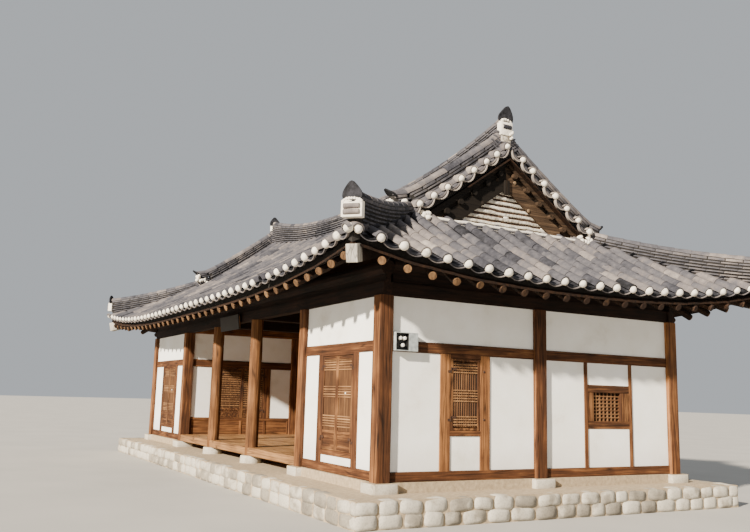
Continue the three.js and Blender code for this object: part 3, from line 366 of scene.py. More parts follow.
def hew(work, low, high, along, tone=0.5, ease=0.007, uneven=0.0, finish=None, every=0.4):
    """One squared timber between two corners, with eased arrises and the slow waver of the adze."""
    low, high = Vector(low), Vector(high)
    size = high - low
    beam = bmesh.new()
    bmesh.ops.create_cube(beam, size=1)
    bmesh.ops.transform(beam, matrix=Matrix.Translation((low + high) / 2) @ sized(*size), verts=beam.verts)
    arrises = [edge for edge in beam.edges
               if abs((edge.verts[0].co - edge.verts[1].co)[along]) > size[along] * 0.9]
    ease_edges(beam, arrises, min(ease, min(size) * 0.22))
    if uneven:
        spaces = max(2, round(size[along] / every))
        normal = Vector((0, 0, 0))
        normal[along] = 1
        for space in range(1, spaces):
            cut = low.copy()
            cut[along] += size[along] * space / spaces
            bmesh.ops.bisect_plane(beam, geom=beam.verts[:] + beam.edges[:] + beam.faces[:],
                                   plane_co=cut, plane_no=normal)
        for vert in beam.verts:
            waver = noise.noise_vector(vert.co * 0.68 / every) * uneven
            waver[along] = 0
            vert.co += waver
    lay_once(work, beam, tone, along if finish is None else finish)


# Levels and faces that the frames share: rails and jambs stand 54 mm before
# the line of the columns and are 100 mm deep.
column_half, column_foot, column_head = 0.11, 0.5, 3.0997
foot_low, foot_high, mid_low, mid_high = 0.5003, 0.64, 2.311, 2.468
jamb_foot, jamb_head = 0.63, 2.315
front_face, front_back = -2.954, -2.854
rear_face, rear_back = 2.954, 2.854


def square_column(work, x, y, tone):
    """One square column; its front face is painted paler: a painted highlight of the sunlit side, as well as bleaching
    by the sun.
    """
    old_faces = len(work.faces)
    hew(work, (x - column_half, y - column_half, column_foot), (x + column_half, y + column_half, column_head), 2,
        tone, ease=0.014, uneven=0.003)
    tones = work.faces.layers.float["tone"]
    work.faces.ensure_lookup_table()
    for face in work.faces[old_faces:]:
        # Painted highlight: faces that look to the front get a paler tone.
        if face.normal.y < -0.8:
            face[tones] += 0.45


def front_bay(room, west, east, door):
    """The frame of a front room: columns, foot rail, mid rail, and the door's jambs, sill and head."""
    work = bmesh.new()
    for x in (west, east):
        square_column(work, x, front_line, dice.uniform(0.1, 0.4))
    first, last = west + column_half, east - column_half
    hew(work, (first, front_face, foot_low), (last, front_line + column_half, foot_high), 0, 0.4, uneven=0.002)
    hew(work, (first, front_face, mid_low), (last, front_back, mid_high), 0, 0.35, uneven=0.002)
    for low in (door - 0.68, door + 0.52):
        hew(work, (low, front_face, jamb_foot), (low + 0.16, front_back, jamb_head), 2, dice.uniform(0.2, 0.5))
    for low, high, tone in ((0.757, 0.834, 0.45), (2.28, jamb_head, 0.3)):
        hew(work, (door - 0.522, front_face, low), (door + 0.522, front_back, high), 0, tone)
    finish_piece(f"front_{room}_timbers", work, frame_pine, nodes=[f"front_{room}_frame"])


west_door, east_door = -4.8, 4.968
front_bay("west", column_lines[0], column_lines[1], west_door)
front_bay("east", column_lines[4], column_lines[5], east_door)


def end_bay(side, hand):
    """An end wall's frame, east or west: mid column, rails, door boards and window studs."""
    work = bmesh.new()
    square_column(work, hand * 6.275, mid_line, 0.15)
    near, far = sorted((hand * 6.229, hand * 6.329))
    for start, end in ((-2.79, -0.19), (0.03, 2.79)):
        hew(work, (near, start, foot_low), (far, end, foot_high), 1, 0.4, uneven=0.002)
        hew(work, (near, start, mid_low), (far, end, mid_high), 1, 0.35, uneven=0.002)
    boards = ((-1.946, -1.764, 0.9), (-1.225, -1.043, 0.95))
    window_studs = ((0.869, 0.94, 0.5), (1.873, 1.944, 0.5))
    for start, end, tone in boards + window_studs:
        hew(work, (near, start, jamb_foot), (far, end, jamb_head), 2, tone)
    for low, high, tone in ((1.13, 1.207, 0.5), (2.259, jamb_head, 0.4)):
        hew(work, (near, -1.766, low), (far, -1.223, high), 1, tone)
    finish_piece(f"{side}_timbers", work, frame_pine, nodes=[f"{side}_frame"])


end_bay("east", 1)

# Rear frame: six columns under the rear eave, with rails to the two rooms and
# a boarded wall of upright planks behind the open hall.
work = bmesh.new()
for x in column_lines:
    square_column(work, x, rear_line, dice.uniform(0.4, 0.7))
for start, end in zip(column_lines, column_lines[1:]):
    first, last = start + column_half, end - column_half
    inner = 2.79 if abs(start - hall_middle) > 3 else rear_back
    hew(work, (first, inner, foot_low), (last, rear_face, foot_high), 0, 0.4, uneven=0.002)
    hew(work, (first, rear_back, mid_low), (last, rear_face, mid_high), 0, 0.35, uneven=0.002)
planks, plank_gap = 7, 0.002
for start, end in ((-3.265, -1.185), (-0.965, 1.165), (1.385, 3.565)):
    for low, high in ((0.63, 2.32), (2.46, column_head)):
        for plank in range(planks):
            near = start + (end - start) * plank / planks
            hew(work, (near + plank_gap, 2.88, low), (near + (end - start) / planks - plank_gap, 2.92, high), 2,
                dice.uniform(0.1, 0.7), ease=0.004)
finish_piece("rear_timbers", work, frame_pine, nodes=["rear_frame"])

# Hall columns: whole logs, barked and adzed round, standing open to the sun
# on their round stones, paler and more cracked than the squared ones.
hall_pine = aged_pine("hall_column_pine_sunbleached", 2, "20130A", "5F3E24", "9A6C42")
for x, side in ((-1.075, "west"), (1.275, "east")):
    work = bmesh.new()
    log = bmesh.new()
    bmesh.ops.create_cone(log, cap_ends=True, segments=24, radius1=0.124, radius2=0.116, depth=2.5994,
                          matrix=move(x, front_line, 1.79995))
    for level in range(1, 8):
        bmesh.ops.bisect_plane(log, geom=log.verts[:] + log.edges[:] + log.faces[:],
                               plane_co=(0, 0, 0.5 + 2.6 * level / 8), plane_no=(0, 0, 1))
    for vert in log.verts:
        waver = noise.noise_vector(vert.co * 2.3) * 0.004
        vert.co += Vector((waver.x, waver.y, 0))
    lay_once(work, log, 0.55)
    finish_piece(f"hall_log_{side}", work, [hall_pine], nodes=[f"hall_column_{side}"], crease=50)


# ---------------------------------------------------------------------------
# Plastered walls: sand and lime trowelled smooth over clay on split bamboo,
# brilliant white, with faint trowel clouds and a foot stained by splashes.
lime_plaster, tree, shader = start_material("lime_plaster_trowelled", 0.86)
cloud = object_noise(tree, 1.6, 6.0, 0.6)
axes = add_node(tree, "ShaderNodeSeparateXYZ", {"Vector": object_place(tree)})
paint(tree, shader, cloud, [(0.25, "E4DFD4"), (0.42, "F4F2EB"), (0.7, "FDFCF9")],
      ranged(tree, axes.outputs["Z"], 0.6, 1.05, 0.82))
emboss(tree, shader, weigh(tree, cloud, 0.6, object_noise(tree, 70.0)), 0.35, 0.006)
dress(lime_plaster, "front_west_wall", "front_east_wall", "east_wall", "west_wall", "partition_west_wall",
      "partition_east_wall", "rear_wall_west", "rear_wall_east")


# ---------------------------------------------------------------------------
# Lattice doors: thin pine stiles and rails mortised together, close upright
# bars with three groups of cross bars, paper pasted behind, a solid panel at
# the foot. The leaves hang on iron strap hinges with a loose pin.
door_pine = pine_set("door_pine_planed", "1C110A", "4C2F1B", "A8774A", 0.8)
bar_pine = pine_set("lattice_bar_pine", "38261A", "5E4029", "A47C54", 0.85, 0.9)
# Mulberry paper: pasted behind the bars, yellowed, painted dark brown: painted shade of the dark room behind it.
mulberry_paper = clouded("mulberry_paper_pasted", 0.8, 9.0, 6.0, [(0.3, "2E261F"), (0.6, "40352C")])
# Hand-forged iron: scaled black and brown by rust, never polished.
forged_iron = clouded("iron_forged_rusted", 0.8, 45.0, 4.0, [(0.35, "2A1C14"), (0.6, "4A3020"), (0.8, "6A4428")],
                      relief=(0.5, 0.002), metallic=0.3)
# White porcelain: glazed, faintly warm.
porcelain = clouded("porcelain_glazed", 0.25, 20.0, 2.0, [(0.3, "E6E2D8"), (0.7, "F4F2EC")])
leaf_finishes = door_pine + [mulberry_paper, forged_iron, porcelain] + bar_pine
in_paper, in_iron, in_porcelain, in_bar_across, in_bar_upright = 3, 4, 5, 6, 8
strap_tall, strap_out = 0.0395, 0.0025


def hinge_half(work, low, hand, proud=0.0):
    """A strap 40 mm tall with its curled eye about the pin, 8 mm before the leaf's face."""
    reach, curl, high = (0.055 if proud else 0.10) * hand, 0.006 * hand, low + strap_tall
    hew(work, (min(0.001, reach), -strap_out - proud, low), (max(-0.001, reach), 0.0005 - proud, high), 0,
        ease=0.001, finish=in_iron)
    hew(work, (min(0, curl), -0.0115, low), (max(0, curl), -0.0005, high), 1, ease=0.001, finish=in_iron)
    eye = bmesh.new()
    bmesh.ops.create_cone(eye, cap_ends=True, segments=12, radius1=0.005, radius2=0.005, depth=strap_tall,
                          matrix=move(0, -0.008, low + strap_tall / 2))
    for nail in (0.02, 0.042) if proud else (0.035, 0.08):
        bmesh.ops.create_icosphere(eye, subdivisions=1, radius=0.006,
                                   matrix=move(nail * hand, -strap_out - proud, low + 0.02) @ sized(1, 0.4, 1))
    lay_once(work, eye, 0.5, in_iron)


def lattice_leaf(width, foot, top, panel_top, uprights, groups, pull):
    """A leaf in its own flat: x from the hinge edge, y from the face back, z up."""
    leaf = bmesh.new()
    deep, stile, rail, set_back = 0.036, 0.046, 0.055, 0.001
    bar_half, cross_half, group_pitch, paper_lap = 0.0085, 0.010, 0.039, 0.004
    last = width - stile
    for start, end in ((0, stile), (last, width)):
        hew(leaf, (start, 0, foot), (end, deep, top), 2, dice.uniform(0.3, 0.7), ease=0.003)
    rails = [(foot, foot + rail), (top - rail, top)]
    if panel_top > foot:
        rails.append((panel_top - rail, panel_top))
    for low, high in rails:
        hew(leaf, (stile, set_back, low), (last, deep - set_back, high), 0, ease=0.003)
    if panel_top > foot:
        hew(leaf, (stile, 0.010, foot + rail), (last, 0.022, panel_top - rail), 0, 0.35, ease=0.002)
    open_low, open_high = max(panel_top, foot + rail), top - rail
    for bar in range(1, uprights + 1):
        x = stile + (last - stile) * bar / (uprights + 1)
        hew(leaf, (x - bar_half, 0.009, open_low), (x + bar_half, 0.021, open_high), 2,
            dice.uniform(0.15, 0.35), ease=0.002, finish=in_bar_upright)
    for centre, bars in groups:
        for bar in range(bars):
            z = open_low + (open_high - open_low) * centre + (bar - (bars - 1) / 2) * group_pitch
            hew(leaf, (stile, set_back, z - cross_half), (last, 0.013, z + cross_half), 0,
                dice.uniform(0.75, 1.05), ease=0.003, finish=in_bar_across)
    hew(leaf, (stile - paper_lap, 0.0215, open_low - paper_lap), (last + paper_lap, 0.0255, open_high + paper_lap), 0,
        ease=0.001, finish=in_paper)
    if pull:
        knob = bmesh.new()
        bmesh.ops.create_uvsphere(knob, u_segments=12, v_segments=8, radius=0.014,
                                  matrix=move(width * 0.43, 0, foot + 0.87) @ sized(1, 0.6, 1))
        lay_once(leaf, knob, 0.5, in_porcelain)
    for low in (foot + 0.1705, top - 0.1695):
        hinge_half(leaf, low, 1)
    return leaf


def hang(title, leaf, hinge, hand, facing, body="house", nodes=()):
    """Sets a leaf in its opening at its hinge edge: facing is the way its face looks, hand mirrors it."""
    look, up = Vector(facing), Vector((0, 0, 1))
    bmesh.ops.transform(leaf, matrix=framed(up.cross(look) * hand, -look, up, hinge), verts=leaf.verts)
    if hand < 0:
        bmesh.ops.recalc_face_normals(leaf, faces=leaf.faces)
    finish_piece(title, leaf, leaf_finishes, body=body, nodes=nodes)


def frame_hinges(title, hinge, hand, facing, heights):
    """The halves of the hinges that stay on the jamb, below the leaf's, on a face 4 mm proud of it."""
    half = bmesh.new()
    for low in heights:
        hinge_half(half, low - 0.0400, -1, proud=0.004)
    hang(title, half, hinge, hand, facing)


cross_groups = [(0.13, 5), (0.545, 5), (0.93, 5)]
leaf_face = 2.950
to_front, to_east, to_west = (0, -1, 0), (1, 0, 0), (-1, 0, 0)
for room, centre in (("west", west_door), ("east", east_door)):
    for side, hand in (("left", 1), ("right", -1)):
        edge = (centre - hand * 0.515, -leaf_face, 0)
        leaf = lattice_leaf(0.5125, 0.839, 2.275, 1.14, 13, cross_groups, hand < 0)
        hang(f"front_{room}_leaf_{side}", leaf, edge, hand, to_front,
             f"front_{room}_leaf_{side}", [f"front_{room}_door_{side}"])
        frame_hinges(f"front_{room}_hinges_{side}", edge, hand, to_front, (1.009, 2.105))
# The small doors of the end walls; the west one is fixed.
small_groups, small_hinges = [(0.07, 5), (0.48, 5), (0.93, 5)], (1.382, 2.084)
leaf = lattice_leaf(0.529, 1.212, 2.254, 0, 10, small_groups, False)
hang("east_leaf", leaf, (6.325, -1.759, 0), 1, to_east, "east_leaf", ["east_door"])
frame_hinges("east_hinges", (6.325, -1.759, 0), 1, to_east, small_hinges)
leaf = lattice_leaf(0.529, 1.212, 2.254, 0, 10, small_groups, False)
hang("west_door_fixed", leaf, (-6.325, -1.759, 0), -1, to_west)
frame_hinges("west_hinges", (-6.325, -1.759, 0), -1, to_west, small_hinges)
# Two iron studs on the far jamb of the east door, at the height of hinges.
studs = bmesh.new()
for height in (1.37, 2.08):
    bmesh.ops.create_uvsphere(studs, u_segments=12, v_segments=8, radius=0.020,
                              matrix=move(6.330, -1.16, height) @ sized(0.5, 1, 1))
finish_piece("east_jamb_studs", studs, [forged_iron])
# The pairs of the partitions, closely barred; the east pair is fixed.
even_bars = [(row / 17, 1) for row in range(1, 17)]
for edge_x, room in ((-3.309, "west"), (3.609, "east")):
    for side, hand, y in (("left", 1, -2.085), ("right", -1, -0.905)):
        leaf = lattice_leaf(0.5875, 1.065, 2.285, 1.30, 13, even_bars, hand < 0)
        edge = (edge_x, y, 0)
        if room == "west":
            hang(f"partition_leaf_{side}", leaf, edge, hand, to_east,
                 f"partition_leaf_{side}", [f"partition_west_door_{side}"])
            frame_hinges(f"partition_hinges_{side}", edge, hand, to_east, (1.235, 2.115))
        else:
            hang(f"partition_east_leaf_{side}", leaf, edge, -hand, to_west)
            frame_hinges(f"partition_east_hinges_{side}", edge, -hand, to_west, (1.235, 2.115))


# ---------------------------------------------------------------------------
# End windows: a thick mitred pine frame round a square lattice of stout bars, open behind, set in the plaster between
# two studs; behind the bars a board at the darkest tone of the pine is painted shade of the opening.
def end_window(side, hand, nodes=()):
    work = bmesh.new()
    near, far = sorted((hand * 6.2235, hand * 6.3225))
    (y_low, y_high), (z_low, z_high) = (0.9405, 1.8725), (1.2485, 1.9565)
    (clear_left, clear_right), (clear_foot, clear_head) = (1.075, 1.675), (1.372, 1.832)
    hew(work, (near, y_low, z_low), (far, y_high, clear_foot), 1, 0.45, ease=0.006)
    hew(work, (near, y_low, clear_head), (far, y_high, z_high), 1, 0.4, ease=0.006)
    hew(work, (near, y_low, clear_foot), (far, clear_left, clear_head), 2, 0.5, ease=0.006)
    hew(work, (near, clear_right, clear_foot), (far, y_high, clear_head), 2, 0.5, ease=0.006)
    middle, columns, rows, let_in = hand * 6.271, 7, 8, 0.004
    in_bar_deep, in_bar_upright = 4, 5
    for bar in range(1, columns):
        y = clear_left + (clear_right - clear_left) * bar / columns
        hew(work, (middle - 0.011, y - 0.012, clear_foot - let_in), (middle + 0.011, y + 0.012, clear_head + let_in), 2,
            0.55, ease=0.003, finish=in_bar_upright)
    for bar in range(1, rows):
        z = clear_foot + (clear_head - clear_foot) * bar / rows
        hew(work, (middle - 0.012, clear_left - let_in, z - 0.010), (middle + 0.012, clear_right + let_in, z + 0.010),
            1, 0.65, ease=0.003, finish=in_bar_deep)
    # Painted shade: the board behind the bars takes the darkest tone of the pine.
    back_near, back_far = sorted((hand * 6.2535, hand * 6.2135))
    hew(work, (back_near, y_low, z_low), (back_far, y_high, z_high), 1, 0.0, ease=0.004)
    finish_piece(f"{side}_window_lattice", work, door_pine + bar_pine, nodes=nodes)


end_window("east", 1, ["east_window"])
end_window("west", -1)
end_bay("west", -1)


# ---------------------------------------------------------------------------
# Partitions beside the hall: rails and jambs like the outer walls, a band of
# framed panels below the waist rail, a crossbeam of a whole squared log above.
def partition(side, mirrored):
    bay = bmesh.new()
    square_column(bay, -3.375, mid_line, 0.55)
    face, back, panels = -3.305, -3.405, 4
    for start, end in ((-2.79, -0.19), (0.03, 2.79)):
        hew(bay, (-3.515, start, foot_low), (face, end, foot_high), 1, 0.45, uneven=0.002)
        hew(bay, (back, start, 2.29), (face, end, mid_high), 1, 0.4, uneven=0.002)
        hew(bay, (back, start, 0.98), (face, end, 1.06), 1, 0.55)
        hew(bay, (back, start, 0.63), (-3.317, end, 0.99), 1, 0.6, ease=0.003)
        for rib in range(panels + 1):
            y = start + 0.02 + (end - start - 0.04) * rib / panels
            hew(bay, (-3.33, y - 0.028, 0.63), (-3.306, y + 0.028, 0.985), 2, dice.uniform(0.3, 0.7), ease=0.003)
    for start, end in ((-2.25, -2.09), (-0.90, -0.74)):
        hew(bay, (back, start, 1.05), (face, end, 2.295), 2, 0.5)
    hew(bay, (-3.495, -2.825, 3.1), (-3.255, 2.825, 3.4), 1, 0.6, ease=0.03, uneven=0.004)
    if mirrored:
        bmesh.ops.transform(bay, matrix=move(0.3, 0, 0) @ sized(-1, 1, 1), verts=bay.verts)
        bmesh.ops.recalc_face_normals(bay, faces=bay.faces)
    finish_piece(f"partition_{side}_timbers", bay, frame_pine, nodes=[f"partition_{side}_frame"])


partition("west", False)
partition("east", True)


# ---------------------------------------------------------------------------
# Hall floor: short pine boards let into the sides of long joists in the well
# pattern, worn smooth and honey brown, with a deep beam along the open front.
floor_pine = pine_set("floor_pine_worn", "4C3320", "8A6440", "B48A5C", 0.55)
floor_west, floor_east, floor_front, floor_deep = -3.303, 3.603, -2.878, 5.663
joist_half, boards = 0.07, 19
work = bmesh.new()
hew(work, (floor_west, -3.0, foot_low), (floor_east, -2.88, 0.6485), 0, 0.45, ease=0.01, uneven=0.001)
joists = [floor_west, -2.25, -1.075, 0.1, 1.275, 2.45, floor_east]
for joist in joists:
    hew(work, (max(floor_west, joist - joist_half), floor_front, 0.591),
        (min(floor_east, joist + joist_half), 2.785, 0.6499), 1, dice.uniform(0.4, 0.8), ease=0.004)
for joist, next_joist in zip(joists, joists[1:]):
    start = max(floor_west + joist_half, joist + joist_half) + 0.001
    end = min(floor_east - joist_half, next_joist - joist_half) - 0.001
    for board in range(boards):
        low_y = floor_front + floor_deep * board / boards
        hew(work, (start, low_y + 0.0015, 0.5925), (end, low_y + floor_deep / boards - 0.0015, 0.649), 0,
            dice.uniform(0.15, 0.85), ease=0.003)
finish_piece("hall_floor_boards", work, floor_pine, nodes=["hall_floor"])


# ---------------------------------------------------------------------------
# Eave beams and crossbeams: squared tie beams notched over the column heads, round purlins on them, and crossbeams over
# the hall, all of pine that is never wetted by rain, painted nearly black: painted shade of the deep eaves. These
# solids stay.
eave_pine = [aged_pine(f"eave_pine_painted_shade_{way}", along, "0F0906", "281810", "4A3020")
             for along, way in enumerate(("across", "deep"))]
dress(eave_pine[0], "front_eave_beam", "rear_eave_beam", "ridge_purlin")
dress(eave_pine[1], "east_eave_beam", "west_eave_beam", "hall_crossbeam_west", "hall_crossbeam_east")


# ---------------------------------------------------------------------------
# Rafters: peeled pine poles under split boarding, straight on the long sides
# and fanned at the corners, with the heavy corner rafters greyed at the ends.
# The rafters' pine is painted very dark: painted shade under the eaves.
rafter_pine = pine_set("rafter_pine_peeled", "120B07", "301E11", "553A22")
dress(rafter_pine[1], "rafters_front", "rafters_rear")
dress(rafter_pine[0], "rafters_east", "rafters_west")
# Sawn end grain catches the sun below the eave, tan in fresher wood, silver
# on the corner rafters that stand out in the rain.
sawn_ends = aged_pine("rafter_end_grain_sawn", 2, "2E2018", "614831", "8B6C4C")
silver_ends = aged_pine("corner_rafter_end_silvered", 2, "5A554E", "A39D93", "D3CEC4")

# The slopes hang in two curves, lower in the middle of the eave and lifting
# to the corners: out is the distance from the ridge, reach from the middle.
eave_height, corner_lift, corner_reach = 3.4, 0.36, 0.055
front_eave, end_eave, corner_x, corner_y = 4.03, 7.41, 7.465, 4.085


def long_sweep(x):
    """0 in the middle of a long eave, 1 at its corners."""
    return (abs(x) / corner_x) ** 3.6


def short_sweep(y):
    return (abs(y) / corner_y) ** 2.6


def eave_out(x):
    return front_eave + corner_reach * long_sweep(x)


def eave_reach(y):
    return end_eave + corner_reach * short_sweep(y)


def climb(t):
    return 0.74 * t + 0.26 * t * t


def long_z(x, out):
    eave = eave_height + corner_lift * long_sweep(x)
    ridge = 5.65 + 0.43 * min(1, abs(x) / 5.4) ** 2.55
    return eave + (ridge - eave) * climb((eave_out(x) - out) / eave_out(x))


def end_z(reach, y):
    eave = eave_height + corner_lift * short_sweep(y)
    return eave + (6.08 - eave) * climb((eave_reach(y) - reach) / front_eave)


def at_side(side, along, out, z):
    """A point at one of the four sides: along its eave, out from the middle, at a height."""
    if side in ("front", "rear"):
        return Vector((along, -out if side == "front" else out, z))
    return Vector((out if side == "east" else -out, along, z))


def slope_z(side, along, out):
    return long_z(along, out) if side in ("front", "rear") else end_z(out, along)


def eave_at(side, along):
    return eave_out(along) if side in ("front", "rear") else eave_reach(along)


def under_boards(side, along, out):
    """A point on the underside of the eave boarding, straight from the eave to its kink."""
    eave, kink = eave_at(side, along), 1.45 if side in ("front", "rear") else 5.36
    low, high = slope_z(side, along, eave), slope_z(side, along, kink)
    return at_side(side, along, out, low + (high - low) * (eave - out) / (eave - kink) - 0.235)


disc = bmesh.new()
bmesh.ops.create_cone(disc, cap_ends=True, segments=18, radius1=0.056, radius2=0.056, depth=0.02)
ease_edges(disc, [edge for edge in disc.edges if edge.verts[0].co.z > 0 and edge.verts[1].co.z > 0], 0.004)
sawn_disc = template(disc, "sawn_end")
squared_end = template(eased_cube(0.03), "squared_end")
rafter_pitch = 0.395
work = bmesh.new()
for side in ("front", "rear", "east", "west"):
    long_side = side in ("front", "rear")
    straight_to, last, fan_head = (5.39, 7.185, (5.39, 2.07)) if long_side else (2.01, 3.805, (2.01, 5.45))
    count = int(last / rafter_pitch)
    for number in range(-count, count + 1):
        along = number * rafter_pitch
        fan = abs(along) > straight_to
        edge = eave_at(side, along)
        drop = Vector((0, 0, 0.08 if fan else 0.055))
        foot = under_boards(side, along, edge - 0.1) - drop
        if fan:
            back = under_boards(side, math.copysign(fan_head[0], along), fan_head[1]) - drop
        else:
            back = under_boards(side, along, edge - 1.1) - drop
        # Along the ends of the house the end grain is painted darker towards the rear: painted shade of the eave tiles
        # above it.
        painted_eave_shade = 0.0 if long_side else min(1.2, max(0.0, 0.45 * (along + 3.1)))
        place = (foot - back).to_track_quat("Z", "Y").to_matrix().to_4x4()
        place.translation = foot
        lay(work, sawn_disc, place, dice.uniform(0.1, 0.9) - painted_eave_shade)
for hand_x in (1, -1):
    for hand_y in (1, -1):
        tip = Vector((hand_x * 7.40, hand_y * 4.02, 3.425))
        bend = Vector((hand_x * 6.275, hand_y * 2.895, 3.80))
        outward = (tip - bend).normalized()
        across = outward.cross(Vector((0, 0, 1))).normalized()
        place = framed(across, across.cross(outward) * -1, outward, tip - outward * 0.10)
        lay(work, squared_end, place @ sized(0.154, 0.234, 0.212), 0.5, 1)
bmesh.ops.recalc_face_normals(work, faces=work.faces[:])
finish_piece("rafter_ends", work, [sawn_ends, silver_ends], crease=40)


# ---------------------------------------------------------------------------
# Roof tiles: grey fired clay, broad pan tiles lapped up each slope in a bed
# of earth, half-round cover tiles over their joints.
row_pitch, hip_offset, hip_lap = 0.345, 3.38, 0.05
missing_plug_at = 4.3125


def on_slope(side, along, out):
    return at_side(side, along, out, slope_z(side, along, out))


def row_ends(side, along):
    """Where a row starts at the eave and stops under a ridge, at a verge, or against the gable."""
    if side in ("front", "rear"):
        return eave_out(along), 0.1 if abs(along) < 5.5 else abs(along) - hip_offset + hip_lap
    return eave_reach(along), max(5.40, abs(along) + hip_offset + hip_lap)


def seat(low, high, beside):
    """The place of a tile that runs from low to high: x across, y up the slope, z off it."""
    up = (high - low).normalized()
    across = (beside - low).normalized()
    if across.cross(up).z < 0:
        across = -across
    off = across.cross(up).normalized()
    return framed(up.cross(off), up, off, low)


# Smoked clay: the kiln leaves each tile its own grey, blue or lilac, matt
# with a faint bloom of lichen; clouds about 120 mm wide, pores drawn 15 mm.
smoked_clay, tree, shader = start_material("clay_tile_smoked", 0.8, sheen=0.12)
pores = object_noise(tree, 65.0, 3.0)
paint(tree, shader, ranged(tree, weigh(tree, object_noise(tree, 8.0, 5.0, 0.62), 0.75, face_tone(tree)), 0.3, 1.45),
      [(0.0, "111113"), (0.12, "212124"), (0.3, "3E3E44"), (0.5, "58565A"), (0.64, "6A6463"), (0.82, "837B77"),
       (1.0, "A79D94")], ranged(tree, pores, 0.35, 0.7, 0.86, 1.1))
emboss(tree, shader, pores, 0.4, 0.004)
# Lime pressed on by hand: stops every tile mouth and joint, chalky, dented.
pressed_lime = clouded("lime_mortar_pressed", 0.9, 24.0, 4.0,
                       [(0.15, "544B40"), (0.35, "8E8578"), (0.55, "C6BEB0"), (0.8, "E8E1D4")],
                       relief=(0.7, 0.012), toned=0.5)
# Bedding clay: the brown earth packed under and between the tiles, with chopped straw that leaves lumps of about 40 mm;
# it lies always in the dark, and its brown is painted near black as painted shade.
bedding_clay = clouded("clay_bedding_packed", 0.95, 25.0, 5.0,
                       [(0.3, "131110"), (0.6, "211D1A"), (0.8, "302A25")], relief=(0.6, 0.01))
roof_finishes = [smoked_clay, pressed_lime, bedding_clay]
in_tile, in_lime, in_clay = 0, 1, 2


def spun_tile(title, start, end, centre_z, degrees, steps, thick, outward=False):
    """A tile 1 m long, spun from its left edge; it is shortened to its course as it is laid."""
    tile = bmesh.new()
    ends = [tile.verts.new(start), tile.verts.new(end)]
    edge = tile.edges.new(ends)
    bmesh.ops.spin(tile, geom=ends + [edge], cent=(0, 0, centre_z), axis=(0, 1, 0), angle=-math.radians(degrees),
                   steps=steps, use_duplicate=False)
    if outward:
        tile.normal_update()
        if sum(face.normal.dot(face.calc_center_median() * Vector((1, 0, 1))) for face in tile.faces) < 0:
            bmesh.ops.reverse_faces(tile, faces=tile.faces[:])
    bmesh.ops.solidify(tile, geom=tile.faces[:], thickness=thick)
    bmesh.ops.recalc_face_normals(tile, faces=tile.faces[:])
    return template(tile, title)


# Cover tile: a half pipe, 180 mm wide at its mouth and tapered to slip under
# the next one. Pan tile: a shallow dish 300 mm wide. Eave crescent: the lip
# of lime under the mouth of each pan tile.
cover_tile = spun_tile("cover_tile", (0.090, 0, 0.0), (0.0865, 1, -0.001), 0, 180, 8, 0.017, outward=True)
pan_tile = spun_tile("pan_tile", (-0.15, 0, 0.052), (-0.14, 1, 0.044), 0.27, 69, 5, 0.020)
crescent = spun_tile("eave_crescent", (-0.135, -0.012, 0.030), (-0.135, 0.03, 0.030), 0.235, 67, 7, 0.011)
# Lime plug: a fistful of mortar thumbed into the mouth of the cover tile.
plug = bmesh.new()
bmesh.ops.create_icosphere(plug, subdivisions=2, radius=1)
for vert in plug.verts:
    vert.co *= 1 + 0.10 * noise.noise(vert.co * 1.7)
bmesh.ops.scale(plug, vec=(0.067, 0.060, 0.062), verts=plug.verts)
lime_plug = template(plug, "lime_plug")

sway = random.Random(5)


def tile_tone(point, spread=0.29):
    """Neighbouring tiles come from one firing; single ones stand out."""
    odd = sway.uniform(-spread, spread)
    return 0.46 + 0.3 * noise.noise(point * 0.8) + odd * (1.5 if sway.random() < 0.12 else 0.62)


def lay_row(side, along, cover):
    """One row of cover or pan tiles from the eave to its upper end."""
    row = bmesh.new()
    start, stop = row_ends(side, along)
    # Pan tiles take a tone 0.40 darker and cover tiles one 0.04 lighter: painted shade in the channels between the
    # cover rows.
    shape, exposure, lap, sunk, tipped, shade = ((cover_tile, 0.345, 0.055, 0.014, 0.7, 0.04) if cover
                                                 else (pan_tile, 0.155, 0.12, 0.088, 4.2, -0.40))
    courses = max(1, round((start - stop) * 1.13 / exposure))
    step = (start - stop) / courses
    for course in range(courses):
        out = start - course * step
        low, high = on_slope(side, along, out), on_slope(side, along, out - step)
        place = seat(low, high, on_slope(side, along + 0.05, out))
        tone = tile_tone(low) + shade
        nudge = move(sway.uniform(-0.005, 0.005), 0, -sunk)
        twist = rotated(math.radians(sway.uniform(-1.3, 1.3)), "Z") @ rotated(-math.radians(tipped), "X")
        lay(row, shape, place @ nudge @ twist @ sized(1, (high - low).length + lap, 1), tone)
        if course:
            continue
        if not cover:
            lay(row, crescent, place @ move(0, -0.006, -0.088), sway.uniform(0.55, 0.85))
        elif side != "front" or abs(along - missing_plug_at) > 0.1:
            lump = move(sway.uniform(-0.006, 0.006), 0.010, -0.006) @ rotated(sway.uniform(-0.5, 0.5), "Y")
            lay(row, lime_plug, place @ lump @ Matrix.Scale(sway.uniform(0.92, 1.08), 4),
                sway.uniform(0.3, 1.0), in_lime)
    return row


def thicken(skin, by):
    """Draws all the faces of a skin out by a vector, into a solid."""
    drawn = bmesh.ops.extrude_face_region(skin, geom=skin.faces[:])
    bmesh.ops.translate(skin, vec=by, verts=[item for item in drawn["geom"] if isinstance(item, bmesh.types.BMVert)])
    bmesh.ops.recalc_face_normals(skin, faces=skin.faces[:])


def bed(work, side, first, last, columns, limit=None):
    """The earth under the tiles: a skin that follows the slope between two ends, then 118 mm thick."""
    skin = bmesh.new()
    bmesh.ops.create_grid(skin, x_segments=columns, y_segments=12, size=0.5)
    for vert in skin.verts:
        along = first + (last - first) * (vert.co.x + 0.5)
        start, stop = row_ends(side, along)
        start -= 0.17
        stop = stop - 0.05 if limit is None else limit
        vert.co = on_slope(side, along, start + (stop - start) * (vert.co.y + 0.5)) - Vector((0, 0, 0.085))
    skin.normal_update()
    if sum(face.normal.z for face in skin.faces) < 0:
        bmesh.ops.reverse_faces(skin, faces=skin.faces[:])
    thicken(skin, (0, 0, -0.118))
    lay_once(work, skin, 0.4, in_clay)


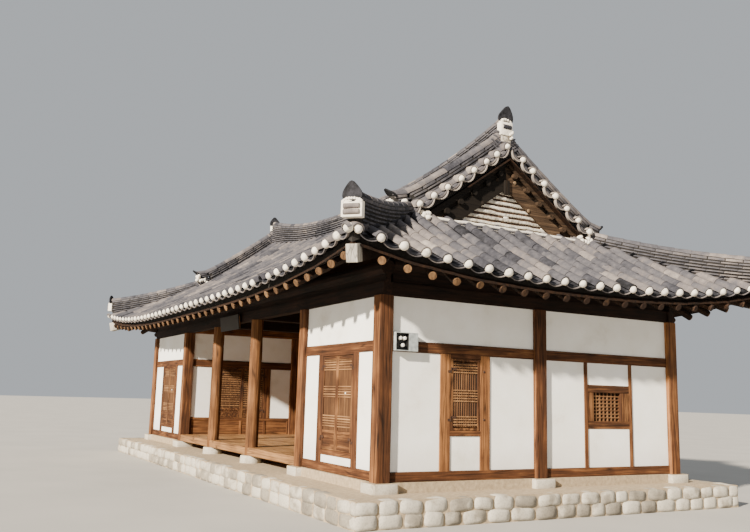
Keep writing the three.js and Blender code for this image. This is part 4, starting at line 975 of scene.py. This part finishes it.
long_beds = ((-5.40, 5.40, 30, 0.02), (5.38, 5.52, 2, 2.19), (-5.52, -5.38, 2, 2.19), (5.50, 7.40, 8),
             (-7.40, -5.50, 8))
end_beds = ((-4.02, 4.02, 22),)
for side, half_rows, beds in (("front", 22, long_beds), ("rear", 22, long_beds), ("east", 12, end_beds),
                              ("west", 12, end_beds)):
    work = bmesh.new()
    for span in beds:
        bed(work, side, *span)
    rows = [(row_pitch * (number + 0.5), True) for number in range(-half_rows, half_rows)]
    rows += [(row_pitch * number, False) for number in range(1 - half_rows, half_rows)]
    # Each row is made by itself, because laying slows down as a work grows.
    for along, cover in rows:
        row = lay_row(side, along, cover)
        shape = bpy.data.meshes.new("row")
        row.to_mesh(shape)
        row.free()
        work.from_mesh(shape)
        bpy.data.meshes.remove(shape)
    finish_piece(f"{side}_slope_tiles", work, roof_finishes, nodes=[f"roof_tiles_{side}"], crease=50)


# ---------------------------------------------------------------------------
# Ridges: flat tiles stacked in lime over a core of rubble, a row of cover
# tiles along the top. The lower courses die into the slope as it rises.
flat_tile = template(eased_cube(0.08), "flat_tile")
lime_core = template(eased_cube(0.03), "lime_core")
ridge_cap, course_pitch = 0.105, 0.056


def stack(work, spine, length, width):
    """Courses of flat tiles along a spine, whose call gives the foot and the top of the stack."""
    stations = max(2, round(length / 0.30))
    for index in range(stations):
        foot_a, top_a = spine(index / stations)
        foot_b, top_b = spine((index + 1) / stations)
        tall = max((top_a - foot_a).length, (top_b - foot_b).length) - ridge_cap
        courses = max(1, math.ceil((tall + 0.03) / course_pitch))
        run = top_b - top_a
        level = Vector((run.x, run.y, 0)).normalized()
        place = seat(top_a, top_b, top_a + level.cross(Vector((0, 0, 1))))
        for course in range(courses):
            ahead = run.length * (0.75 if course % 2 else 0.5)
            thick = course_pitch * (sway.uniform(0.44, 0.56) if course else 0.85)
            broad = width * (0.84 + 0.16 * min(1, course / 4)) + sway.uniform(-0.006, 0.006)
            spot = move(sway.uniform(-0.003, 0.003), ahead, -ridge_cap - (course + 0.5) * course_pitch)
            lay(work, flat_tile, place @ spot @ sized(broad, run.length * 0.998, thick),
                tile_tone(top_a, 0.14) - (0.07 if course else 0.0))
        deep = courses * course_pitch
        # The core is laid in the near-black bedding clay: painted shade in the recess between the courses.
        lay(work, lime_core, place @ move(0, run.length / 2, -ridge_cap - deep / 2 + 0.01)
            @ sized(width * 0.76, run.length * 1.02, deep), 0.3, in_clay)
        lay(work, cover_tile, place @ move(0, -0.02, -0.100) @ rotated(-math.radians(1.2), "X")
            @ sized(0.97, run.length + 0.05, 0.97), tile_tone(top_a) + 0.05)


# Ogive end tile: a pointed shield of clay that closes the mouth of a ridge.
shield_radius = 0.128
shield = bmesh.new()
bmesh.ops.create_circle(shield, cap_ends=True, segments=28, radius=shield_radius)
bmesh.ops.inset_region(shield, faces=shield.faces[:], thickness=0.016, depth=0.010)
for vert in shield.verts:
    rise = vert.co.y / shield_radius
    vert.co.y = shield_radius * (rise + 0.42 * rise ** 7 if rise > 0 else 0.6 * rise)
    vert.co.z -= 1.5 * vert.co.x ** 2
thicken(shield, (0, 0, -0.028))
ogive = template(shield, "ogive_tile")


def stand(at, outward, lean):
    """A place whose z looks outward, level, and whose y stands up, leaning back a little."""
    look, up = Vector(outward).normalized(), Vector((0, 0, 1))
    return framed(up.cross(look).normalized(), up, look, at) @ rotated(lean, "X")


def nose(outward, at):
    """A place for a cover tile let into a lime block: it lies across, its back outward."""
    return framed(Vector((0, 0, -1)), Vector((0, 0, 1)).cross(outward), outward, at)


def dab(work, spot, small, large, tone):
    """A lump of lime, turned and sized by chance."""
    place = Matrix.Translation(spot) @ rotated(sway.uniform(0, 6), "Z")
    lay(work, lime_plug, place @ Matrix.Scale(sway.uniform(small, large), 4), tone, in_lime)


def main_top(x):
    return 6.09 + 0.615 * (abs(x) / 5.44) ** 2.5


def main_spine(s):
    x = -5.20 + 10.40 * s
    return Vector((x, 0, long_z(x, 0.14) - 0.02)), Vector((x, 0, main_top(x)))


main = bmesh.new()
stack(main, main_spine, 10.4, 0.28)
# Past the gable only the upper courses run on, over the head of the verges.
for hand in (1, -1):
    def end_spine(s):
        x = 5.20 + 0.09 * s
        return Vector((hand * x, 0, 6.37)), Vector((hand * x, 0, main_top(x)))
    stack(main, end_spine, 0.3, 0.26)
for hand in (1, -1):
    lay(main, ogive, stand((hand * 5.41, 0, 6.585), (hand, 0, 0), 0.12) @ Matrix.Scale(1.24, 4), 0.12)
    lay(main, lime_core, move(hand * 5.36, 0, 6.395) @ sized(0.12, 0.25, 0.24), 0.9, in_lime)
    lay(main, lime_core, move(hand * 5.35, 0, 6.22) @ sized(0.10, 0.20, 0.18), -0.2, in_lime)
    lay(main, cover_tile, nose(Vector((hand, 0, 0)), (hand * 5.417, -hand * 0.09, 6.43)) @ sized(0.46, 0.18, 0.36), 0.3)
    for lump in range(16):
        swing = math.pi * lump / 10
        spot = Vector((hand * sway.uniform(5.36, 5.41), 0.105 * math.cos(swing), 6.52 + 0.04 * math.sin(swing)))
        if lump > 10:
            spot = Vector((hand * sway.uniform(5.40, 5.46), sway.uniform(0.02, 0.14), sway.uniform(6.20, 6.36)))
        dab(main, spot, 0.36, 0.5, 0.9)
bmesh.ops.recalc_face_normals(main, faces=main.faces[:])
finish_piece("main_ridge_stack", main, roof_finishes, nodes=["main_ridge"], crease=50)


def corner_ridges(row_name, hand_y, column_name, hand_x):
    """The hip from a corner of the eave to the gable's foot, and the descent from there to the ridge."""
    def hip_spine(s):
        x = 7.40 - 2.02 * s
        inward = 7.48 - x
        foot = Vector((hand_x * x, hand_y * (x - hip_offset), long_z(x, x - hip_offset) - 0.03))
        return foot, Vector((foot.x, foot.y, 4.26 + 0.13 * inward + 0.065 * inward * inward))

    def descent_spine(s):
        y = 2.27 - 2.25 * s
        lifted = 0.25 * (max(0, y - 1.9) / 0.58) ** 2
        base = long_z(5.33, y)
        foot = Vector((hand_x * 5.29, hand_y * y, base - 0.03))
        return foot, Vector((foot.x, foot.y, base + 0.40 + lifted))

    work = bmesh.new()
    stack(work, hip_spine, 2.86, 0.235)
    outward = Vector((hand_x, hand_y, 0)).normalized()
    across = Vector((0, 0, 1)).cross(outward)
    corner = Vector((hand_x * 7.45, hand_y * 4.07, 3.985))
    # The hip's end: a lime block with two cover tiles let into it, and the ogive tile above.
    lay(work, lime_core, stand(corner - outward * 0.055, outward, 0) @ sized(0.275, 0.215, 0.12), 0.9, in_lime)
    for up in (-0.075, 0.0):
        let_in = corner + Vector((0, 0, up + 0.03)) - across * 0.105 + outward * 0.002
        lay(work, cover_tile, nose(outward, let_in) @ sized(0.40, 0.21, 0.42), 0.75)
    above = corner + Vector((0, 0, 0.165)) + outward * 0.005
    lay(work, ogive, stand(above, outward, 0.08) @ Matrix.Scale(1.04, 4), 0.08)
    for lump in range(11):
        swing = math.pi * lump / 10
        over = Vector((0, 0, 0.085 + 0.045 * math.sin(swing)))
        dab(work, corner + over + across * 0.115 * math.cos(swing) - outward * 0.012, 0.36, 0.46, 0.9)
    stack(work, descent_spine, 2.7, 0.19)
    # Its foot: an ogive tile tipped outward like a horn, the stack's end packed with lime.
    foot = Vector((hand_x * 5.29, hand_y * 2.12, 4.80))
    lay(work, ogive, stand(foot + Vector((0, hand_y * 0.12, 0.05)), (0, hand_y, 0), 0.9) @ sized(0.8, 1, 1), 0.0)
    for lump in range(20):
        around = Vector((sway.uniform(-0.08, 0.10), hand_y * sway.uniform(-0.14, 0.16), sway.uniform(-0.16, 0.02)))
        dab(work, foot + around, 0.55, 0.9, 0.85)
    bmesh.ops.recalc_face_normals(work, faces=work.faces[:])
    finish_piece(f"{row_name}_{column_name}_ridges", work, roof_finishes,
                 nodes=[f"corner_ridge_{row_name}_{column_name}"], crease=50)


ends = (("east", 1), ("west", -1))
for row_name, hand_y in (("front", -1), ("rear", 1)):
    for column_name, hand_x in ends:
        corner_ridges(row_name, hand_y, column_name, hand_x)


# ---------------------------------------------------------------------------
# Verges: cover tiles laid on their sides over the rake of each gable, their
# mouths to the open air and stopped with lime, a dish of pan tile between.
verge_x = 5.5


def verge_seat(hand_x, hand_y, mouth, y, rise):
    """The mouth of a verge tile, and the place of the tile behind it."""
    z = long_z(verge_x, y)
    low, high = Vector((hand_x * mouth, hand_y * y, z)), Vector((hand_x * 5.23, hand_y * y, z + rise))
    return low, seat(low, high, Vector((hand_x * mouth, hand_y * (y + 0.05), long_z(verge_x, y + 0.05))))


verge_steps = [0.06, 0.29, 0.51, 0.77, 1.03, 1.30, 1.57, 1.84, 2.10]
for gable, hand_x in ends:
    work = bmesh.new()
    for hand_y in (-1, 1):
        for step, y in enumerate(verge_steps):
            if step == 0 and hand_y > 0:
                continue
            low, place = verge_seat(hand_x, hand_y, 5.515, y, 0.035)
            lay(work, cover_tile, place @ move(0, 0, -0.012) @ sized(1, 0.27, 1), tile_tone(low) + 0.3)
            lay(work, lime_plug, place @ move(0, 0.012, 0) @ Matrix.Scale(sway.uniform(0.84, 0.98), 4),
                sway.uniform(0.5, 1.0), in_lime)
            if step:
                low, place = verge_seat(hand_x, hand_y, 5.505, (y + verge_steps[step - 1]) / 2, 0.03)
                lay(work, pan_tile, place @ move(0, 0, -0.095) @ sized(0.92, 0.26, 1), tile_tone(low))
                lay(work, crescent, place @ move(0, 0, -0.112) @ sized(1.0, 1.3, 1.7), sway.uniform(0.9, 1.2))
                lay(work, lime_plug, place @ move(0, 0.035, -0.072) @ sized(1.6, 0.4, 0.85))
    finish_piece(f"{gable}_verge_tiles", work, roof_finishes, crease=50)


# ---------------------------------------------------------------------------
# Gable infill: broken tiles and earth laid in rough courses, each wiped with
# a wavering line of lime, behind the barge boards.
gable_earth = clouded("earth_and_tile_rubble", 0.95, 19.0, 5.0,
                      [(0.3, "1C120C"), (0.55, "422C1E"), (0.8, "725740")], relief=(0.8, 0.015))
rake_slope = 0.704


def rake_panel(hand_x, near, far, start, end, low_of, high_of, columns):
    """A board or wall whose lower and upper edges follow the rake, as thick as near to far."""
    panel = bmesh.new()
    bmesh.ops.create_grid(panel, x_segments=columns, y_segments=2, size=0.5)
    for vert in panel.verts:
        y = start + (end - start) * (vert.co.x + 0.5)
        low, high = low_of(abs(y)), high_of(abs(y))
        vert.co = Vector((hand_x * near, y, low + max(0.004, high - low) * (vert.co.y + 0.5)))
    thicken(panel, (hand_x * (far - near), 0, 0))
    return panel


def rake_under(y):
    return long_z(5.4, y) - 0.245


for gable, hand_x in ends:
    work = bmesh.new()
    lay_once(work, rake_panel(hand_x, 5.25, 5.325, -1.84, 1.84, lambda y: 4.41, rake_under, 30))
    for course in range(9):
        z = 4.49 + course * 0.093
        half = (5.30 - z) / rake_slope + 0.16
        near, far = sorted((hand_x * 5.30, hand_x * 5.348))
        hew(work, (near, -half, z - 0.027), (far, half, z + 0.025), 1, sway.uniform(-0.05, 0.35),
            ease=0.010, uneven=0.017, finish=in_lime, every=0.13)
        for bridge in range(int(half * 2.0)):
            y = sway.uniform(-half, half)
            spot = move(hand_x * 5.322, y, z + 0.04) @ sized(0.30, sway.uniform(0.5, 1.1), 0.42)
            lay(work, lime_plug, spot, sway.uniform(0.4, 0.9), in_lime)
    finish_piece(f"{gable}_gable_courses", work, [gable_earth, pressed_lime],
                 nodes=[f"gable_infill_{gable}"])

# Barge boards: a wide pine plank down each rake with turned pegs, stub rafters above it in the dark, a narrower plank
# under the tiles, and a post where the planks meet. All of them grey-brown and split by the weather; on the north half
# of each gable the planks, stubs and pegs are painted paler, painted light, and on the south half darker, painted
# shade.
rake_pine = pine_set("barge_pine_weathered", "16110C", "483728", "78634C")
in_pine_across, in_pine_deep = 0, 1
for gable, hand_x in ends:
    work = bmesh.new()
    for hand_y in (-1, 1):
        # Painted light and shade: the north half takes the pale tones, the south half the dark ones.
        painted_lit_side = hand_y > 0
        planks = (
            (5.3605, 5.395, 1.22, lambda y: 5.30 - rake_slope * y, lambda y: 5.60 - rake_slope * y, 8, 0.45, -0.9),
            (5.3605, 5.375, 1.86, lambda y: max(4.44, 5.58 - rake_slope * y), rake_under, 16, -0.2, -1.2),
            (5.40, 5.425, 2.0, lambda y: rake_under(y) - 0.10, lambda y: rake_under(y) + 0.02, 16, 0.0, -0.6))
        for near, far, end, low_of, high_of, columns, pale, dark in planks:
            panel = rake_panel(hand_x, near, far, 0.0, hand_y * end, low_of, high_of, columns)
            lay_once(work, panel, pale if painted_lit_side else dark, in_pine_deep)
        for stub in range(7):
            y = 0.16 + stub * 0.275
            beam = bmesh.new()
            bmesh.ops.create_cone(beam, cap_ends=True, segments=14, radius1=0.052, radius2=0.05, depth=0.10,
                                  matrix=move(hand_x * 5.41, hand_y * y, rake_under(y) - 0.16)
                                  @ rotated(math.radians(90), "Y"))
            lay_once(work, beam, 0.15 if painted_lit_side else -0.8, in_pine_across)
        for y, z in ((0.19, 5.44), (0.50, 4.98)):
            peg = bmesh.new()
            bmesh.ops.create_uvsphere(peg, u_segments=14, v_segments=8, radius=0.036,
                                      matrix=move(hand_x * 5.398, hand_y * y, z) @ sized(0.45, 1, 1))
            lay_once(work, peg, 1.6 if painted_lit_side else -0.4, in_pine_across)
    near, far = sorted((hand_x * 5.385, hand_x * 5.435))
    hew(work, (near, -0.055, 5.20), (far, 0.055, 5.45), 2, -0.5, ease=0.008)
    finish_piece(f"{gable}_barge_planks", work, rake_pine, nodes=[f"barge_boards_{gable}"])

# Gable sill: three courses of flat tiles bedded across the foot of the gable
# where the end slope meets it, capped with a rounded fillet of lime.
for gable, hand_x in ends:
    work = bmesh.new()
    for course in range(3):
        for number in range(14):
            y = -1.83 + number * 0.281 + (0.1 if course % 2 else 0)
            near, far = sorted((hand_x * 5.37, hand_x * (5.515 + 0.012 * course)))
            high = 4.545 - course * 0.047
            if y + 0.275 < 1.9:
                hew(work, (near, y, high - 0.034), (far, y + 0.275, high), 1, tile_tone(Vector((5.5, y, 4.5))),
                    ease=0.006, finish=in_tile)
    near, far = sorted((hand_x * 5.375, hand_x * 5.505))
    hew(work, (near, -1.82, 4.40), (far, 1.82, 4.54), 1, 0.3, finish=in_lime)
    hew(work, (near, -1.80, 4.535), (far, 1.80, 4.585), 1, 0.9, ease=0.015, uneven=0.018, finish=in_lime, every=0.12)
    for hand_y in (-1, 1):
        for lump in range(12):
            dab(work, Vector((hand_x * sway.uniform(5.42, 5.52), hand_y * sway.uniform(1.62, 1.90),
                              sway.uniform(4.54, 4.64))), 0.5, 0.85, 0.9)
    finish_piece(f"{gable}_gable_sill", work, roof_finishes, crease=50)


# ---------------------------------------------------------------------------
# Name board: one wide dark plank in a plain raised border, left bare, hung
# leaning forward from the eave beam over the hall.
board_paint, tree, shader = start_material("board_pine_limewashed_dark", 0.7)
laid = add_node(tree, "ShaderNodeMapping", {"Vector": object_place(tree), "Scale": (2.0, 40.0, 40.0)})
grain = add_node(tree, "ShaderNodeTexNoise", {"Vector": laid.outputs["Vector"], "Detail": 4.0})
paint(tree, shader, grain.outputs["Fac"], [(0.3, "14110F"), (0.7, "2E2722")])
dress(board_paint, "plaque")
low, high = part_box("plaque")
half_wide, half_tall, border, front, behind = 1.13 / 2, 0.30 / 2, 0.035, -0.012, 0.01
inner_wide, inner_tall = half_wide - border, half_tall - border
work = bmesh.new()
for x_low, z_low, x_high, z_high, along in ((-half_wide, -half_tall, half_wide, -inner_tall, 0),
                                            (-half_wide, inner_tall, half_wide, half_tall, 0),
                                            (-half_wide, -inner_tall, -inner_wide, inner_tall, 2),
                                            (inner_wide, -inner_tall, half_wide, inner_tall, 2)):
    hew(work, (x_low, front, z_low), (x_high, behind, z_high), along, 0.9, ease=0.004)
lean = move((low.x + high.x) / 2, -2.9895 - 0.028, 2.965 + half_tall) @ rotated(0.12, "X")
bmesh.ops.transform(work, matrix=lean, verts=work.verts)
finish_piece("name_board_border", work, frame_pine)


# ---------------------------------------------------------------------------
# Meter box: pressed steel in grey enamel, open in front, with three porcelain insulators inside.
dress(clouded("steel_enamelled_grey", 0.45, 14.0, 5.0, [(0.3, "7E8486"), (0.6, "A7ADAE"), (0.8, "BDC1C0")]),
      "meter_box")
# Lining: the back and sides of the open half, near black: painted shade inside the box.
box_inside_shade = clouded("box_inside_painted_shade", 0.5, 60.0, 3.0, [(0.3, "0B0B0B"), (0.7, "1C1B1A")])
lining = bmesh.new()
for start, end, along in (((6.352, -2.768, 2.332), (6.357, -2.562, 2.568), 2),
                          ((6.352, -2.7685, 2.332), (6.430, -2.7645, 2.568), 2),
                          ((6.352, -2.5655, 2.332), (6.430, -2.5615, 2.568), 2),
                          ((6.352, -2.768, 2.5645), (6.430, -2.562, 2.5685), 1),
                          ((6.352, -2.768, 2.3315), (6.430, -2.562, 2.3355), 1)):
    hew(lining, start, end, along, ease=0.001, finish=0)
finish_piece("meter_lining", lining, [box_inside_shade])
work = bmesh.new()
for y, z in ((-2.68, 2.50), (-2.61, 2.50), (-2.64, 2.40)):
    for radius, depth, x in ((0.030, 0.018, 6.375), (0.022, 0.02, 6.39), (0.027, 0.014, 6.405)):
        drum = bmesh.new()
        bmesh.ops.create_cone(drum, cap_ends=True, segments=16, radius1=radius, radius2=radius * 0.85, depth=depth,
                              matrix=move(x, y, z) @ rotated(math.radians(90), "Y"))
        ease_edges(drum, drum.edges[:], 0.003)
        lay_once(work, drum)
finish_piece("meter_insulators", work, [porcelain])
